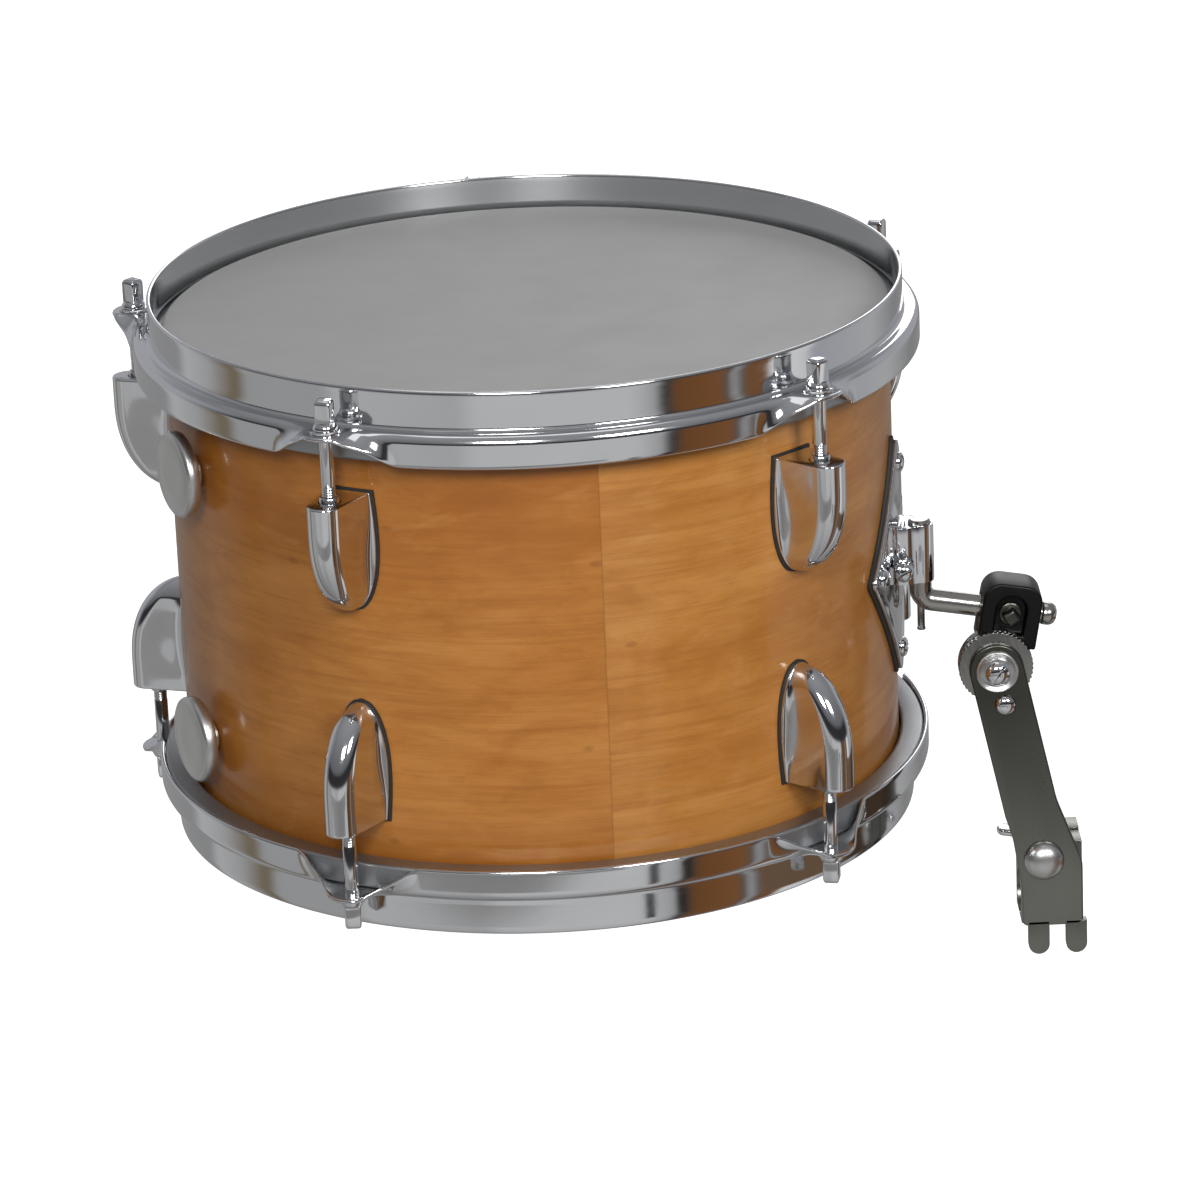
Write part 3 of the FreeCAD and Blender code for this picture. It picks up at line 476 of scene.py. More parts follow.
def metal(name, colour, roughness, wear=0.05, grain=0.0, tint=0.04, cloud_scale=45, painted_sheen=None):
    """Plated or polished metal: faint cloudiness, wipe marks and fine scratches.

    The last argument, (low, high, colour), paints a reflection: a brighter colour from a high level down to a
    low one.
    """
    material, net = new_material(name)
    at = net.place()
    cloud = net.noise(at, cloud_scale, 3)
    fine = net.noise(net.scaled(at, (1, 1, 9)), 900, 2)
    darker = tuple(c * (1 - tint) for c in colour)
    tone = net.mix(cloud, colour, darker)
    if painted_sheen:
        low, high, bright = painted_sheen
        # painted reflection: the lower the surface, the more of the brighter colour, in cloudy patches
        wear_and_sheen = net.remap(net.split(at)[2], 1.0, 0.0, low, high)
        tone = net.mix(net.times(wear_and_sheen, net.remap(cloud, 0.75, 1.0, 0.3, 0.7)), tone, bright)
    net.feed("Base Color", tone)
    mixed = net.math("ADD", net.times(cloud, wear), net.times(fine, wear * 0.6))
    net.feed("Roughness", net.math("ADD", mixed, roughness - 0.5 * wear))
    net.feed("Metallic", 1.0)
    if grain:
        net.feed("Normal", net.bump(fine, grain, 0.00004))
    return material


def chrome(name, roughness=0.075):
    """Bright chrome plate over slightly uneven pressed steel."""
    material, net = new_material(name)
    at = net.place()
    waves = net.noise(at, 26, 2)
    wipe = net.noise(net.scaled(at, (1, 1, 5)), 160, 3)
    pits = net.noise(at, 1400, 2)
    net.surface(net.mix(waves, (0.74, 0.75, 0.77), (0.66, 0.67, 0.68)),
                net.math("ADD", net.times(wipe, 0.07), roughness - 0.02),
                net.math("ADD", waves, net.times(pits, 0.012)), 0.07, 0.0006)
    net.feed("Metallic", 1.0)
    return material


def maple_lacquer():
    """Amber maple veneer wrapped round the shell with its grain level, under gloss lacquer."""
    material, net = new_material("maple_lacquer")
    angle, radius, height = net.around_drum()
    sheet_at = net.vector(net.times(angle, SHELL_R * MM), radius, height)

    # two veneer sheets meet at an upright seam towards the player; the second is cut from another
    # place in the wood
    seam_angle = math.radians(-80.2)
    sheet_2 = net.math("GREATER_THAN", angle, seam_angle)
    leaf = net.add("ShaderNodeVectorMath", operation="ADD")
    net.link(sheet_at, leaf.inputs[0])
    net.link(net.vector(net.times(sheet_2, 0.37), 0.0, net.times(sheet_2, 0.21)), leaf.inputs[1])
    leaf_at = leaf.outputs[0]

    figure = (((3.2, 3.2, 13), 4, 0.55, 0.9), ((26, 26, 70), 5, 0.62, 0.8),
              ((9, 9, 330), 5, 0.62, 0.35), ((60, 60, 1700), 3, 0.5, 0.2), ((34, 34, 95), 4, 0.6, 0.6))
    bands, mottle, streaks, fibres, blotch = (net.noise(net.scaled(leaf_at, scale), 1.0, *how)
                                              for scale, *how in figure)
    knots = net.add("ShaderNodeTexVoronoi")
    net.link(net.scaled(leaf_at, (22, 22, 40)), knots.inputs["Vector"])
    knots.inputs["Scale"].default_value = 1.0
    knots.inputs["Randomness"].default_value = 1.0

    colour = net.ramp(bands, [(0.30, (0.360, 0.122, 0.018)), (0.46, (0.425, 0.158, 0.027)),
                              (0.58, (0.480, 0.192, 0.038)), (0.74, (0.530, 0.228, 0.052))])
    for mark, limits, tone in ((mottle, (0.0, 0.55, 0.47, 0.70), (0.345, 0.114, 0.016)),
                               (mottle, (0.34, 0.0, 0.30, 0.44), (0.570, 0.265, 0.070)),
                               (streaks, (0.0, 0.50, 0.47, 0.72), (0.310, 0.100, 0.015)),
                               (blotch, (0.0, 0.24, 0.50, 0.70), (0.560, 0.255, 0.066)),
                               (blotch, (0.24, 0.0, 0.28, 0.46), (0.270, 0.088, 0.013)),
                               (fibres, (0.0, 0.28, 0.52, 0.80), (0.190, 0.062, 0.012)),
                               (knots.outputs["Distance"], (0.35, 0.0, 0.035, 0.075),
                                (0.150, 0.048, 0.010))):
        colour = net.mix(net.remap(mark, *limits), colour, tone)
    paler = net.mix(1.0, colour, (1.14, 1.28, 1.60), "MULTIPLY")
    colour = net.mix(net.times(sheet_2, 0.85), colour, paler)
    off = net.math("ABSOLUTE", net.math("SUBTRACT", angle, seam_angle))
    seam = net.remap(off, 1.0, 0.0, 0.0012, 0.0032)
    colour = net.mix(net.times(seam, 0.28), colour, (0.150, 0.060, 0.020))
    ripple = net.noise(net.scaled(sheet_at, (18, 18, 18)), 1.0, 2)
    relief = net.math("ADD", net.times(fibres, 0.05), ripple)
    net.surface(colour, net.remap(bands, 0.30, 0.42), relief, 0.06, 0.0008)
    net.feed("Specular IOR Level", 0.2)
    net.feed("Coat Weight", 0.38)
    net.feed("Coat Roughness", 0.10)
    net.feed("Coat IOR", 1.5)
    return material


def raw_maple():
    """Plain maple for the rings inside the shell."""
    material, net = new_material("maple_raw")
    at = net.place()
    grain = net.noise(net.scaled(at, (6, 6, 240)), 1.0, 5, 0.6, 0.3)
    colour = net.ramp(grain, [(0.3, (0.42, 0.27, 0.13)), (0.6, (0.60, 0.43, 0.24)),
                              (0.8, (0.68, 0.52, 0.32))])
    net.surface(colour, net.remap(grain, 0.5, 0.65), grain, 0.2, 0.0003)
    return material


def coated_film():
    """Polyester film with a sprayed matt white coat, a little dirty where sticks land."""
    material, net = new_material("drumhead")
    radius = net.around_drum()[1]
    at = net.place()
    mottle = net.noise(at, 38, 5, 0.6)
    cloud = net.noise(at, 9, 3, 0.5)
    grit = net.noise(at, 2600, 2, 0.6)
    colour = net.mix(mottle, (0.340, 0.341, 0.333), (0.312, 0.313, 0.305))
    wear_and_sheen = net.remap(net.math("ADD", radius, net.times(cloud, 0.05)), 1.0, 0.0, 0.035, 0.13)
    colour = net.mix(net.times(wear_and_sheen, 0.16), colour, (0.280, 0.281, 0.272))
    relief = net.math("ADD", grit, net.times(mottle, 0.3))
    net.surface(colour, net.remap(mottle, 0.46, 0.60), relief, 0.25, 0.0001)
    net.feed("Specular IOR Level", 0.35)
    return material


def rubber():
    material, net = new_material("black_gasket")
    grit = net.noise(net.place(), 700, 4, 0.6)
    colour = net.mix(grit, (0.012, 0.012, 0.012), (0.03, 0.03, 0.03))
    net.surface(colour, net.remap(grit, 0.5, 0.75), grit, 0.3, 0.0002)
    return material


def wool_felt():
    material, net = new_material("felt")
    at = net.place()
    fibre = net.noise(net.scaled(at, (1, 1, 2.5)), 1500, 5, 0.7, 1.5)
    cloud = net.noise(at, 120, 3)
    colour = net.mix(fibre, (0.62, 0.60, 0.54), (0.78, 0.76, 0.70))
    colour = net.mix(net.times(cloud, 0.3), colour, (0.55, 0.53, 0.47))
    net.surface(colour, net.remap(fibre, 0.85, 1.0), fibre, 0.6, 0.0006)
    net.feed("Sheen Weight", 0.4)
    return material


CHROME = chrome("chrome")
HOOP_CHROME = chrome("hoop_chrome", 0.085)
ALLOY = metal("polished_alloy", (0.62, 0.62, 0.61), 0.30, 0.10, 0.3)
ZINC = metal("zinc_steel", (0.48, 0.49, 0.49), 0.36, 0.12, 0.3)
# the dark arm metal is painted lighter towards its lower end: a painted reflection
GUNMETAL = metal("gunmetal", (0.120, 0.120, 0.104), 0.26, 0.14, 0.05, 0.45, 22,
                 (0.015, 0.095, (0.235, 0.235, 0.212)))
KNUCKLE_BLACK = metal("knuckle_black", (0.028, 0.028, 0.028), 0.36, 0.14, 0.10, 0.25)
RATCHET_STEEL = metal("ratchet_steel", (0.36, 0.355, 0.34), 0.24, 0.12, 0.10, 0.35, 120)
ROD_STEEL = metal("rod_steel", (0.50, 0.49, 0.46), 0.18, 0.10, 0.05, 0.30, 60)
FLESH = metal("flesh_hoop", (0.40, 0.41, 0.42), 0.42, 0.10, 0.2)
MAPLE = maple_lacquer()
RAW_MAPLE = raw_maple()
FILM = coated_film()
RUBBER = rubber()
FELT = wool_felt()


# ---------------------------------------------------------------- shell and heads
def make_shell():
    """The wooden tube with its bearing edges, rounded where the lacquer wraps over them."""
    inner, peak = SHELL_R - SHELL_WALL, SHELL_R - 1.6
    outline = [(inner, -(HALF - 4)), (peak, -HALF), (SHELL_R - 0.4, -(HALF - 0.9)),
               (SHELL_R, -(HALF - 2.0))]
    outline += [(SHELL_R, z) for z in (-60, -20, 20, 60)]
    outline += [(SHELL_R, HALF - 2.0), (SHELL_R - 0.4, HALF - 0.9), (peak, HALF), (inner, HALF - 4)]
    tube = turned("shell_veneer", outline, MAPLE, Matrix.Translation(DRUM), 360, closed=True)
    vent = along(seat(VENT_ANGLE) @ Vector((SHELL_R, 0, 0)), seat(VENT_ANGLE).to_3x3() @ Vector((1, 0, 0)))
    carve(tube, [bore(5, vent, MAPLE, 32, 20)])
    shade(tube, 30)
    finish_piece(tube, "drum", ["shell"])


def make_head(side, flip):
    """The film lies flat, rolls over the bearing edge and drops to the flesh hoop."""
    place = seat(0, flip)
    top = HALF + 0.4
    roll = [(148.2, top + 0.05)] + [(150.2 + 2.1 * math.sin(math.radians(a)),
                                     top - 2.1 + 2.1 * math.cos(math.radians(a)) + 0.02)
                                    for a in range(0, 91, 10)]
    inner_side = [(r - 0.35, z - 0.3) for r, z in reversed(roll)]
    outline = [(0, top + 0.02), (40, top + 0.02), (80, top + 0.03), (120, top + 0.04),
               (140, top + 0.05)] + roll + [(152.3, 95.2), (151.95, 95.2)] + inner_side
    outline += [(120, top - 0.3), (60, top - 0.3), (0, top - 0.3)]
    film = turned(f"{side}_film", outline, FILM, place, 240)
    finish_piece(film, "drum", [f"{side}_head_film"])

    low, high, outer, inner = 86.3, 97.1, 162.2, 152.45
    corners = [(inner, 92), (inner, low), (outer, low), (outer, high), (inner, high), (inner, 92.2)]
    section = rounded(corners, 1.6, 6)
    hoop = turned(f"{side}_flesh_ring", section, FLESH, place, 240, closed=True)
    finish_piece(hoop, "drum", [f"{side}_flesh_hoop"])


# ---------------------------------------------------------------- double-flanged hoops
EAR_FLAT = 5.5
EAR_SWEEP = 30.0


def ear_weight(theta):
    """1 on the flat of an ear, 0 where the skirt hangs straight."""
    gap = min(abs((theta - a + math.pi) % TAU - math.pi) for a in ROD_ANGLES) * SKIRT_R
    spread = max(0.0, min(1.0, (gap - EAR_FLAT) / (EAR_SWEEP - EAR_FLAT)))
    return 1 - smooth_step(spread ** 0.78), gap


def hoop_section(theta):
    """The pressed sheet's section at one angle: rim, step, and a skirt that lifts at the ears."""
    weight, gap = ear_weight(theta)
    path, heading = [], []

    def run(point, angle):
        path.append(point)
        heading.append(angle)

    centre_r = RIM_R - SHEET / 2
    step_z = STEP_TOP - SHEET / 2
    inner_bend, outer_bend = 2.4, 3.0
    for i in range(7):
        z = RIM_TOP - SHEET / 2 - (RIM_TOP - SHEET / 2 - step_z - inner_bend) * i / 6
        run(Vector((centre_r, z)), -90)
    for i in range(1, 7):
        run(Vector((centre_r, step_z)) + (Vector((1, 1)) + toward(180 + 15 * i)) * inner_bend, 15 * i - 90)
    corner = SKIRT_R - SHEET / 2 - outer_bend
    for i in range(1, 4):
        run(Vector((centre_r + inner_bend + (corner - centre_r - inner_bend) * i / 3, step_z)), 0)
    turn = 90 * (1 - weight)
    for i in range(1, 9):
        a = turn * i / 8
        pivot = Vector((corner + (1 - turn / 90) * outer_bend * i / 8, step_z - outer_bend))
        run(pivot + toward(90 - a) * outer_bend, -a)
    start = path[-1].copy()
    length = step_z - outer_bend - SKIRT_LOW - SHEET / 2
    reach_at_ear = EAR_REACH - SHEET / 2 - (corner + outer_bend)
    crown = 1.6 * min(1.0, gap / EAR_FLAT) ** 2
    trim = 4.0 * 4 * weight * (1 - weight)
    length = length * (1 - weight) + (reach_at_ear - crown) * weight - trim
    for i in range(1, 9):
        run(start + toward(-turn) * length * i / 8, -turn)

    half = SHEET / 2
    left = [point + toward(angle + 90) * half for point, angle in zip(path, heading)]
    right = [point - toward(angle + 90) * half for point, angle in zip(path, heading)]
    tail, head = ([point + toward(angle + d) * half for d in (60, 30, 0, -30, -60)]
                  for point, angle in ((path[-1], heading[-1]), (path[0], 90)))
    return left + tail + right[::-1] + head


def make_hoop(side, flip):
    """One pressing, with its sections set closer together round the ears."""
    steps, ear_steps, ear_pitch, closest = 540, 42, 0.0048, 0.0018
    angles = {round(TAU * k / steps, 6) for k in range(steps)}
    angles |= {round((a + i * ear_pitch) % TAU, 6) for a in ROD_ANGLES
               for i in range(-ear_steps, ear_steps + 1)}
    kept = []
    for theta in sorted(angles):
        if not kept or theta - kept[-1] >= closest:
            kept.append(theta)
    verts = []
    for theta in kept:
        section = hoop_section(theta)
        verts += [(p.x * math.cos(theta), p.x * math.sin(theta), p.y) for p in section]
    faces = grid_faces(len(kept), len(section), close_rows=True)
    place = Matrix.Translation(DRUM) @ (Matrix.Scale(-1, 4, Vector((0, 0, 1))) if flip
                                        else Matrix.Identity(4))
    hoop = add_mesh(f"{side}_hoop_pressing", verts, faces, HOOP_CHROME, place)
    finish_piece(hoop, "drum", [f"{side}_hoop"])


# ---------------------------------------------------------------- lugs
LUG_NOSE = 7.1
LUG_REACH = 27.0
LUG_HALF = 11.3
LUG_TALL = 50.0


def lug_width(t):
    """Half width of the lug's foot, 0 at its shoulder and 1 at its round end."""
    if t < 0.42:
        return 9.9 + (LUG_HALF - 9.9) * math.sin(math.pi / 2 * t / 0.42)
    return LUG_HALF * math.sqrt(max(0.0, 1 - ((t - 0.42) / 0.58) ** 2.15))


def lug_reach(t):
    """How far the lug's nose stands out from the shell at the same level."""
    if t < 0.22:
        return LUG_REACH
    return LUG_REACH * max(0.0, 1 - ((t - 0.22) / 0.78) ** 2.3) ** 0.52


def lug_section(t, inset=0.0):
    """Half of one level of the lug, from the middle of its nose out to the foot's edge."""
    base = 1.5
    width = max(0.4, lug_width(t) - inset)
    reach = max(base + 0.3, lug_reach(t) - inset)
    nose = min(LUG_NOSE * (0.70 + 0.30 * math.sqrt(max(0.0, 1 - t ** 3))) - inset, width * 0.80)
    nose = max(0.25, min(nose, reach - base))
    wall_foot = nose + (width - 0.8 - nose) * (1 - smooth_step(t / 0.55)) * 0.92
    wall_foot = min(wall_foot + 0.35, width - 0.35 * min(1, width))
    top = reach - nose
    points = [(nose * math.sin(math.radians(a)), top + nose * math.cos(math.radians(a)))
              for a in range(0, 91, 6)]
    side_start, side_end = Vector(points[-1]), Vector((max(wall_foot, nose * 1.001), base))
    side = side_end - side_start
    fillet = min(2.2 + 7.0 * smooth_step(t / 0.45), side.length * 0.7)
    for i in range(1, 7):
        points.append(tuple(side_start + side * (1 - fillet / max(side.length, 1e-6)) * i / 6))
    before = Vector(points[-1])
    flat = Vector((min(side_end.x + fillet, width - 0.1), base))
    points += [tuple(curve(before, side_end, flat, i / 10)) for i in range(1, 11)]
    edge = min(0.6, width * 0.3)
    rim_start = Vector((max(width - edge, flat.x), base))
    for i in range(1, 4):
        points.append(tuple(flat.lerp(rim_start, i / 3)))
    for i in range(1, 5):
        a = math.radians(90 * i / 4)
        points.append((rim_start.x + (width - rim_start.x) * math.sin(a),
                       base - edge + edge * math.cos(a)))
    points.append((width, -1.2))
    return points


def lug_mesh_points():
    """The whole casing: rounded shoulder, body and round end, as closed rings of points."""
    bevel = 0.9
    made = []
    for step in range(5):
        rise = 1 - step / 5
        inset = bevel * (1 - math.sqrt(1 - rise ** 2))
        made.append((LUG_TOP - bevel + bevel * rise, lug_section(0.0, inset)))
    for t in [i / 60 for i in range(58)] + [0.966, 0.978, 0.988, 0.995, 0.999]:
        made.append((LUG_TOP - bevel - (LUG_TALL - bevel) * t, lug_section(t)))
    return [[(r, -y, level) for y, r in reversed(half)] + [(r, y, level) for y, r in half[1:]]
            for level, half in made]


def wrap_to_shell(point):
    """Bend a flat (depth, sideways, height) point round the shell's gasket surface."""
    depth, side, level = point
    base = SHELL_R + GASKET
    sag = base - math.sqrt(base ** 2 - side ** 2)
    return (base + depth - sag * max(0.0, 1 - max(depth, 0) / 20), side, level)


def make_lug_casings():
    rows = [[wrap_to_shell(p) for p in row] for row in lug_mesh_points()]
    for side, k, place in lug_seats():
        lug = loft(f"{side}_lug_casting_{k}", rows, CHROME, place)
        mouth = place @ Matrix.Translation((ROD_R, 0, LUG_TOP - 6))
        carve(lug, [bore(4.6, mouth, CHROME, 40, 10)])
        shade(lug, 38)
        finish_piece(lug, "drum", [f"{side}_lug_{k}"])


def make_lug_gaskets():
    """The thin black sheet that shows as a line round each lug's foot."""
    margin, steps = 0.75, 48
    outer = []
    for i in range(steps + 1):
        t = i / steps
        z = LUG_TOP + margin - (LUG_TALL + 2 * margin) * t
        outer.append((max(0.05, lug_width(min(t, 0.9999)) + (margin if t < 0.98 else margin * 0.8)), z))
    loop = outer + [(-w, z) for w, z in reversed(outer)]
    count = len(loop)
    verts = [(math.sqrt(base ** 2 - y ** 2), y, z)
             for base in (SHELL_R + 0.02, SHELL_R + GASKET + 0.12) for y, z in loop]
    faces = [(k, k + count, (k + 1) % count + count, (k + 1) % count) for k in range(count)]
    for k in range(steps):
        mirror = count - 1 - k
        faces.append((k, k + 1, mirror - 1, mirror))
        faces.append((k + count, mirror + count, mirror - 1 + count, k + 1 + count))
    pieces = [add_mesh("gasket", verts, faces, RUBBER, place) for _, _, place in lug_seats()]
    gaskets = shade(join("lug_gasket_set", pieces))
    finish_piece(gaskets, "drum", ["lug_gaskets"])


def make_swivel_nuts():
    """The threaded nuts inside the lugs, which take the rods."""
    profile = [(3.0, 48), (5.2, 48), (5.6, 48.5), (5.6, 63.4), (5.0, 64), (4.1, 64.2), (4.1, LUG_TOP + 1.6),
               (3.7, LUG_TOP + 2.2), (3.2, LUG_TOP + 2.2), (3.0, LUG_TOP + 1.9)]
    pieces = [turned("nut", profile, CHROME, place, 40, closed=True) for _, _, place in rod_seats()]
    nuts = shade(join("swivel_nut_set", pieces), 35)
    finish_piece(nuts, "drum", ["lug_swivel_nuts"])


# ---------------------------------------------------------------- tension rods
def rod_profile():
    """Threaded shank, plain shank and collar, turned about the rod's own axis."""
    pitch, core, crest = 1.06, 2.55, 2.88
    profile = [(0, ROD_END), (2.0, ROD_END), (core, ROD_END + 0.6)]
    z = ROD_END + 0.8
    while z < LUG_TOP + 5.5:
        profile += [(core, z), (crest, z + pitch * 0.42), (crest, z + pitch * 0.58), (core, z + pitch)]
        z += pitch
    seat_top = STEP_TOP + 1.2
    profile += [(crest, z + 0.6), (crest, seat_top - 0.4), (4.6, seat_top), (5.0, seat_top + 0.35),
                (5.0, seat_top + 1.2), (4.3, seat_top + 2.4), (3.9, seat_top + 2.8), (0, seat_top + 2.8)]
    return profile


def square_head(name, low, high, half, material, place):
    """A key-driven square head with crowned corners and a domed top."""
    head = block(name, (-half, -half, low), (half, half, high - 1.0), material, place)
    bm = bmesh.new()
    bm.from_mesh(head.data)
    bm.faces.ensure_lookup_table()
    axis = (place.to_3x3() @ Vector((0, 0, 1))).normalized()
    cap = max(bm.faces, key=lambda f: f.calc_center_median().dot(axis))
    bmesh.ops.inset_individual(bm, faces=[cap], thickness=half * 0.34 * MM, depth=0.0)
    bmesh.ops.translate(bm, verts=cap.verts, vec=axis * 1.0 * MM)
    bm.to_mesh(head.data)
    bm.free()
    return bevelled(head, 0.7, 3, 20)


def make_tension_rods():
    """Ten threaded rods, each with its square head at its own angle, and the washers under them."""
    profile = rod_profile()
    for side, k, place in rod_seats():
        turn = Matrix.Rotation(random.uniform(0, TAU / 4), 4, "Z")
        shaft = turned("rod_shaft", profile, CHROME, place, 40)
        head = square_head("rod_head", STEP_TOP + 3.4, ROD_HEAD_TOP, 3.3, CHROME, place @ turn)
        rod = join(f"{side}_rod_{k}", [shaft, head])
        finish_piece(rod, f"{side}_tension_rod_{k}", [f"{side}_tension_rod_{k}"])
    washer = [(3.0, STEP_TOP), (6.0, STEP_TOP), (6.25, STEP_TOP + 0.25), (6.2, STEP_TOP + 0.75),
              (5.7, STEP_TOP + 1.15), (3.2, STEP_TOP + 1.2), (3.0, STEP_TOP + 1.0)]
    pieces = [turned("washer", washer, CHROME, place, 40, closed=True) for _, _, place in rod_seats()]
    finish_piece(join("rod_washer_set", pieces), "drum", ["tension_rod_washers"])


# ---------------------------------------------------------------- muffler knobs and pads
def make_knobs():
    """Turned discs with a rounded rim, each on a short hub over its spindle."""
    disc = [(0, 156.0), (7.0, 155.6), (8.2, 156.6), (16.2, 156.9), (17.4, 157.4), (18.0, 158.4),
            (18.0, 161.2), (17.6, 162.1), (16.6, 162.75), (15.6, 162.9), (15.2, 162.75), (8.0, 162.85),
            (0, 162.95)]
    neck = [(3.05, 152.3), (6.6, 152.3), (7.0, 152.7), (7.0, 155.9), (3.05, 155.9)]
    for side, flip in SIDES:
        place = seat(KNOB_ANGLE, flip) @ Matrix.Translation((0, 0, KNOB_LEVEL)) @ Z_TO_X
        knob = turned("knob_face", disc, ALLOY, place, 96)
        hub = turned("knob_hub", neck, ALLOY, place, 64, closed=True)
        knob = shade(join(f"{side}_round_knob", [knob, hub]), 35)
        finish_piece(knob, f"{side}_knob", [f"{side}_muffler_knob"])


def make_felt_pads():
    """Felt blocks with pressed, crowned faces and pulled-in sides."""
    for side, flip in SIDES:
        node = f"{side}_muffler_felt_pad"
        level = abs(middle_mm(node).z - DRUM.z)
        radius, half_x, half_y, half_z = 104.0, 14.6, 19.6, 4.8
        bm = bmesh.new()
        bmesh.ops.create_cube(bm, size=2.0)
        bmesh.ops.subdivide_edges(bm, edges=bm.edges[:], cuts=12, use_grid_fill=True)
        place = seat(KNOB_ANGLE, flip)
        for v in bm.verts:
            x, y, z = v.co
            round_off = (1 - 0.10 * (y * y) ** 2) * (1 - 0.04 * z * z)
            crown = 1 - 0.10 * (x ** 4 + y ** 4) / 2
            waist = 1 - 0.03 * (1 - z * z)
            lump = 0.12 * math.sin(7 * x + 3 * y) * math.cos(5 * y - 2 * x)
            v.co = (place @ Vector((radius + half_x * x * round_off * waist,
                                    half_y * y * (1 - 0.10 * (x * x) ** 2) * waist,
                                    level + half_z * z * crown + (lump if abs(z) > 0.9 else 0)))) * MM
        mesh = bpy.data.meshes.new(node)
        bm.to_mesh(mesh)
        bm.free()
        pad = bpy.data.objects.new(f"{side}_felt", mesh)
        bpy.context.scene.collection.objects.link(pad)
        pad.data.materials.append(FELT)
        sub = pad.modifiers.new("round", "SUBSURF")
        sub.levels = sub.render_levels = 1
        apply_modifiers(pad)
        shade(pad, 80)
        finish_piece(pad, f"{side}_damper", [node])


# ---------------------------------------------------------------- bracket
PLATE_W, PLATE_H = 41.0, 52.0
PLATE_LEVEL = middle_mm("bracket_plate").z - DRUM.z


def diamond_loop(scale, margin, corner=3.0, steps=6):
    """The diamond's outline with rounded corners, as (sideways, height)."""
    w, h = PLATE_W * scale + margin, PLATE_H * scale + margin
    corners = [Vector((w, 0)), Vector((0, h)), Vector((-w, 0)), Vector((0, -h))]
    reach = corner * max(scale, 0.25)
    loop = []
    for k in range(4):
        p, c, n = corners[k - 1], corners[k], corners[(k + 1) % 4]
        before, start = c + (p - c).normalized() * reach, c + (n - c).normalized() * reach
        after = n + (c - n).normalized() * reach
        loop += [curve(before, c, start, i / steps) for i in range(steps + 1)]
        loop += [start.lerp(after, i / 12) for i in range(1, 12)]
    return loop


def curved_plate(name, rings, material, place):
    """A plate bent round the shell: rings of (scale, margin, depth) from its back to its middle."""
    rows = []
    for scale, margin, depth in rings:
        row = []
        for point in diamond_loop(scale, margin):
            radius = SHELL_R + (depth(point.x, point.y) if callable(depth) else depth)
            angle = point.x / SHELL_R
            row.append((radius * math.cos(angle), radius * math.sin(angle), point.y))
        rows.append(row)
    return loft(name, rows, material, place)


def make_bracket():
    """The diamond plate on its rubber sheet, with a slotted screw near each corner."""
    place = seat(BRACKET_ANGLE) @ Matrix.Translation((0, 0, PLATE_LEVEL))
    gasket = curved_plate("bracket_rubber", [(0.3, 0, 0.03), (1, 1.4, 0.03), (1, 1.7, 0.3),
                                             (1, 1.7, 1.3), (1, 1.3, 1.55), (0.3, 0, 1.55)],
                          RUBBER, place)
    finish_piece(shade(gasket, 50), "drum", ["bracket_gasket"])

    def ridge(x, y):
        """A pressed panel inside the border, and a raised seat for the clamp."""
        inward = 1 - abs(x) / PLATE_W - abs(y) / PLATE_H
        panel = 0.9 * smooth_step((inward - 0.10) / 0.10)
        across = 1 - smooth_step((abs(x) - 10) / 3.5)
        fade = 1 - smooth_step((abs(y - 2) - 20) / 5)
        return 1.5 + 2.05 - panel + 1.4 * across * fade

    rings = [(0.25, 0, 1.5), (1, -0.5, 1.5), (1, 0, 1.9), (1, 0, 2.9), (1, -0.35, 3.35), (1, -0.8, 3.55),
             (1, -1.3, 3.55)]
    for i in range(1, 64):
        rings.append((1 - i / 64, -1.3 * (1 - i / 64), ridge))
    plate = curved_plate("bracket_diamond", rings, CHROME, place)
    finish_piece(shade(plate, 45), "drum", ["bracket_plate"])

    pieces = []
    side, end, base = 31.0 / SHELL_R, 41, 155.05
    head = [(0, base), (4.3, base), (4.3, base + 0.5), (3.9, base + 1.3), (3.0, base + 1.95),
            (1.6, base + 2.35), (0, base + 2.45)]
    shank = [(0, 144), (2.1, 144), (2.1, base), (0, base)]
    for turn, rise in ((-side, 0), (side, 0), (0, end), (0, -end)):
        origin = seat(BRACKET_ANGLE + turn) @ Matrix.Translation((0, 0, PLATE_LEVEL + rise)) @ Z_TO_X
        screw = turned("plate_screw", head, CHROME, origin, 40)
        slot_turn = Matrix.Rotation(random.uniform(0, math.pi), 4, "Z")
        slot = block("screw_slot", (-5, -0.5, base + 1.5), (5, 0.5, base + 4), CHROME, origin @ slot_turn)
        pieces.append(shade(carve(screw, [slot]), 35))
        pieces.append(turned("plate_shank", shank, CHROME, origin, 24))
    screws = join("bracket_screw_set", pieces)
    finish_piece(screws, "drum", ["bracket_screws"])


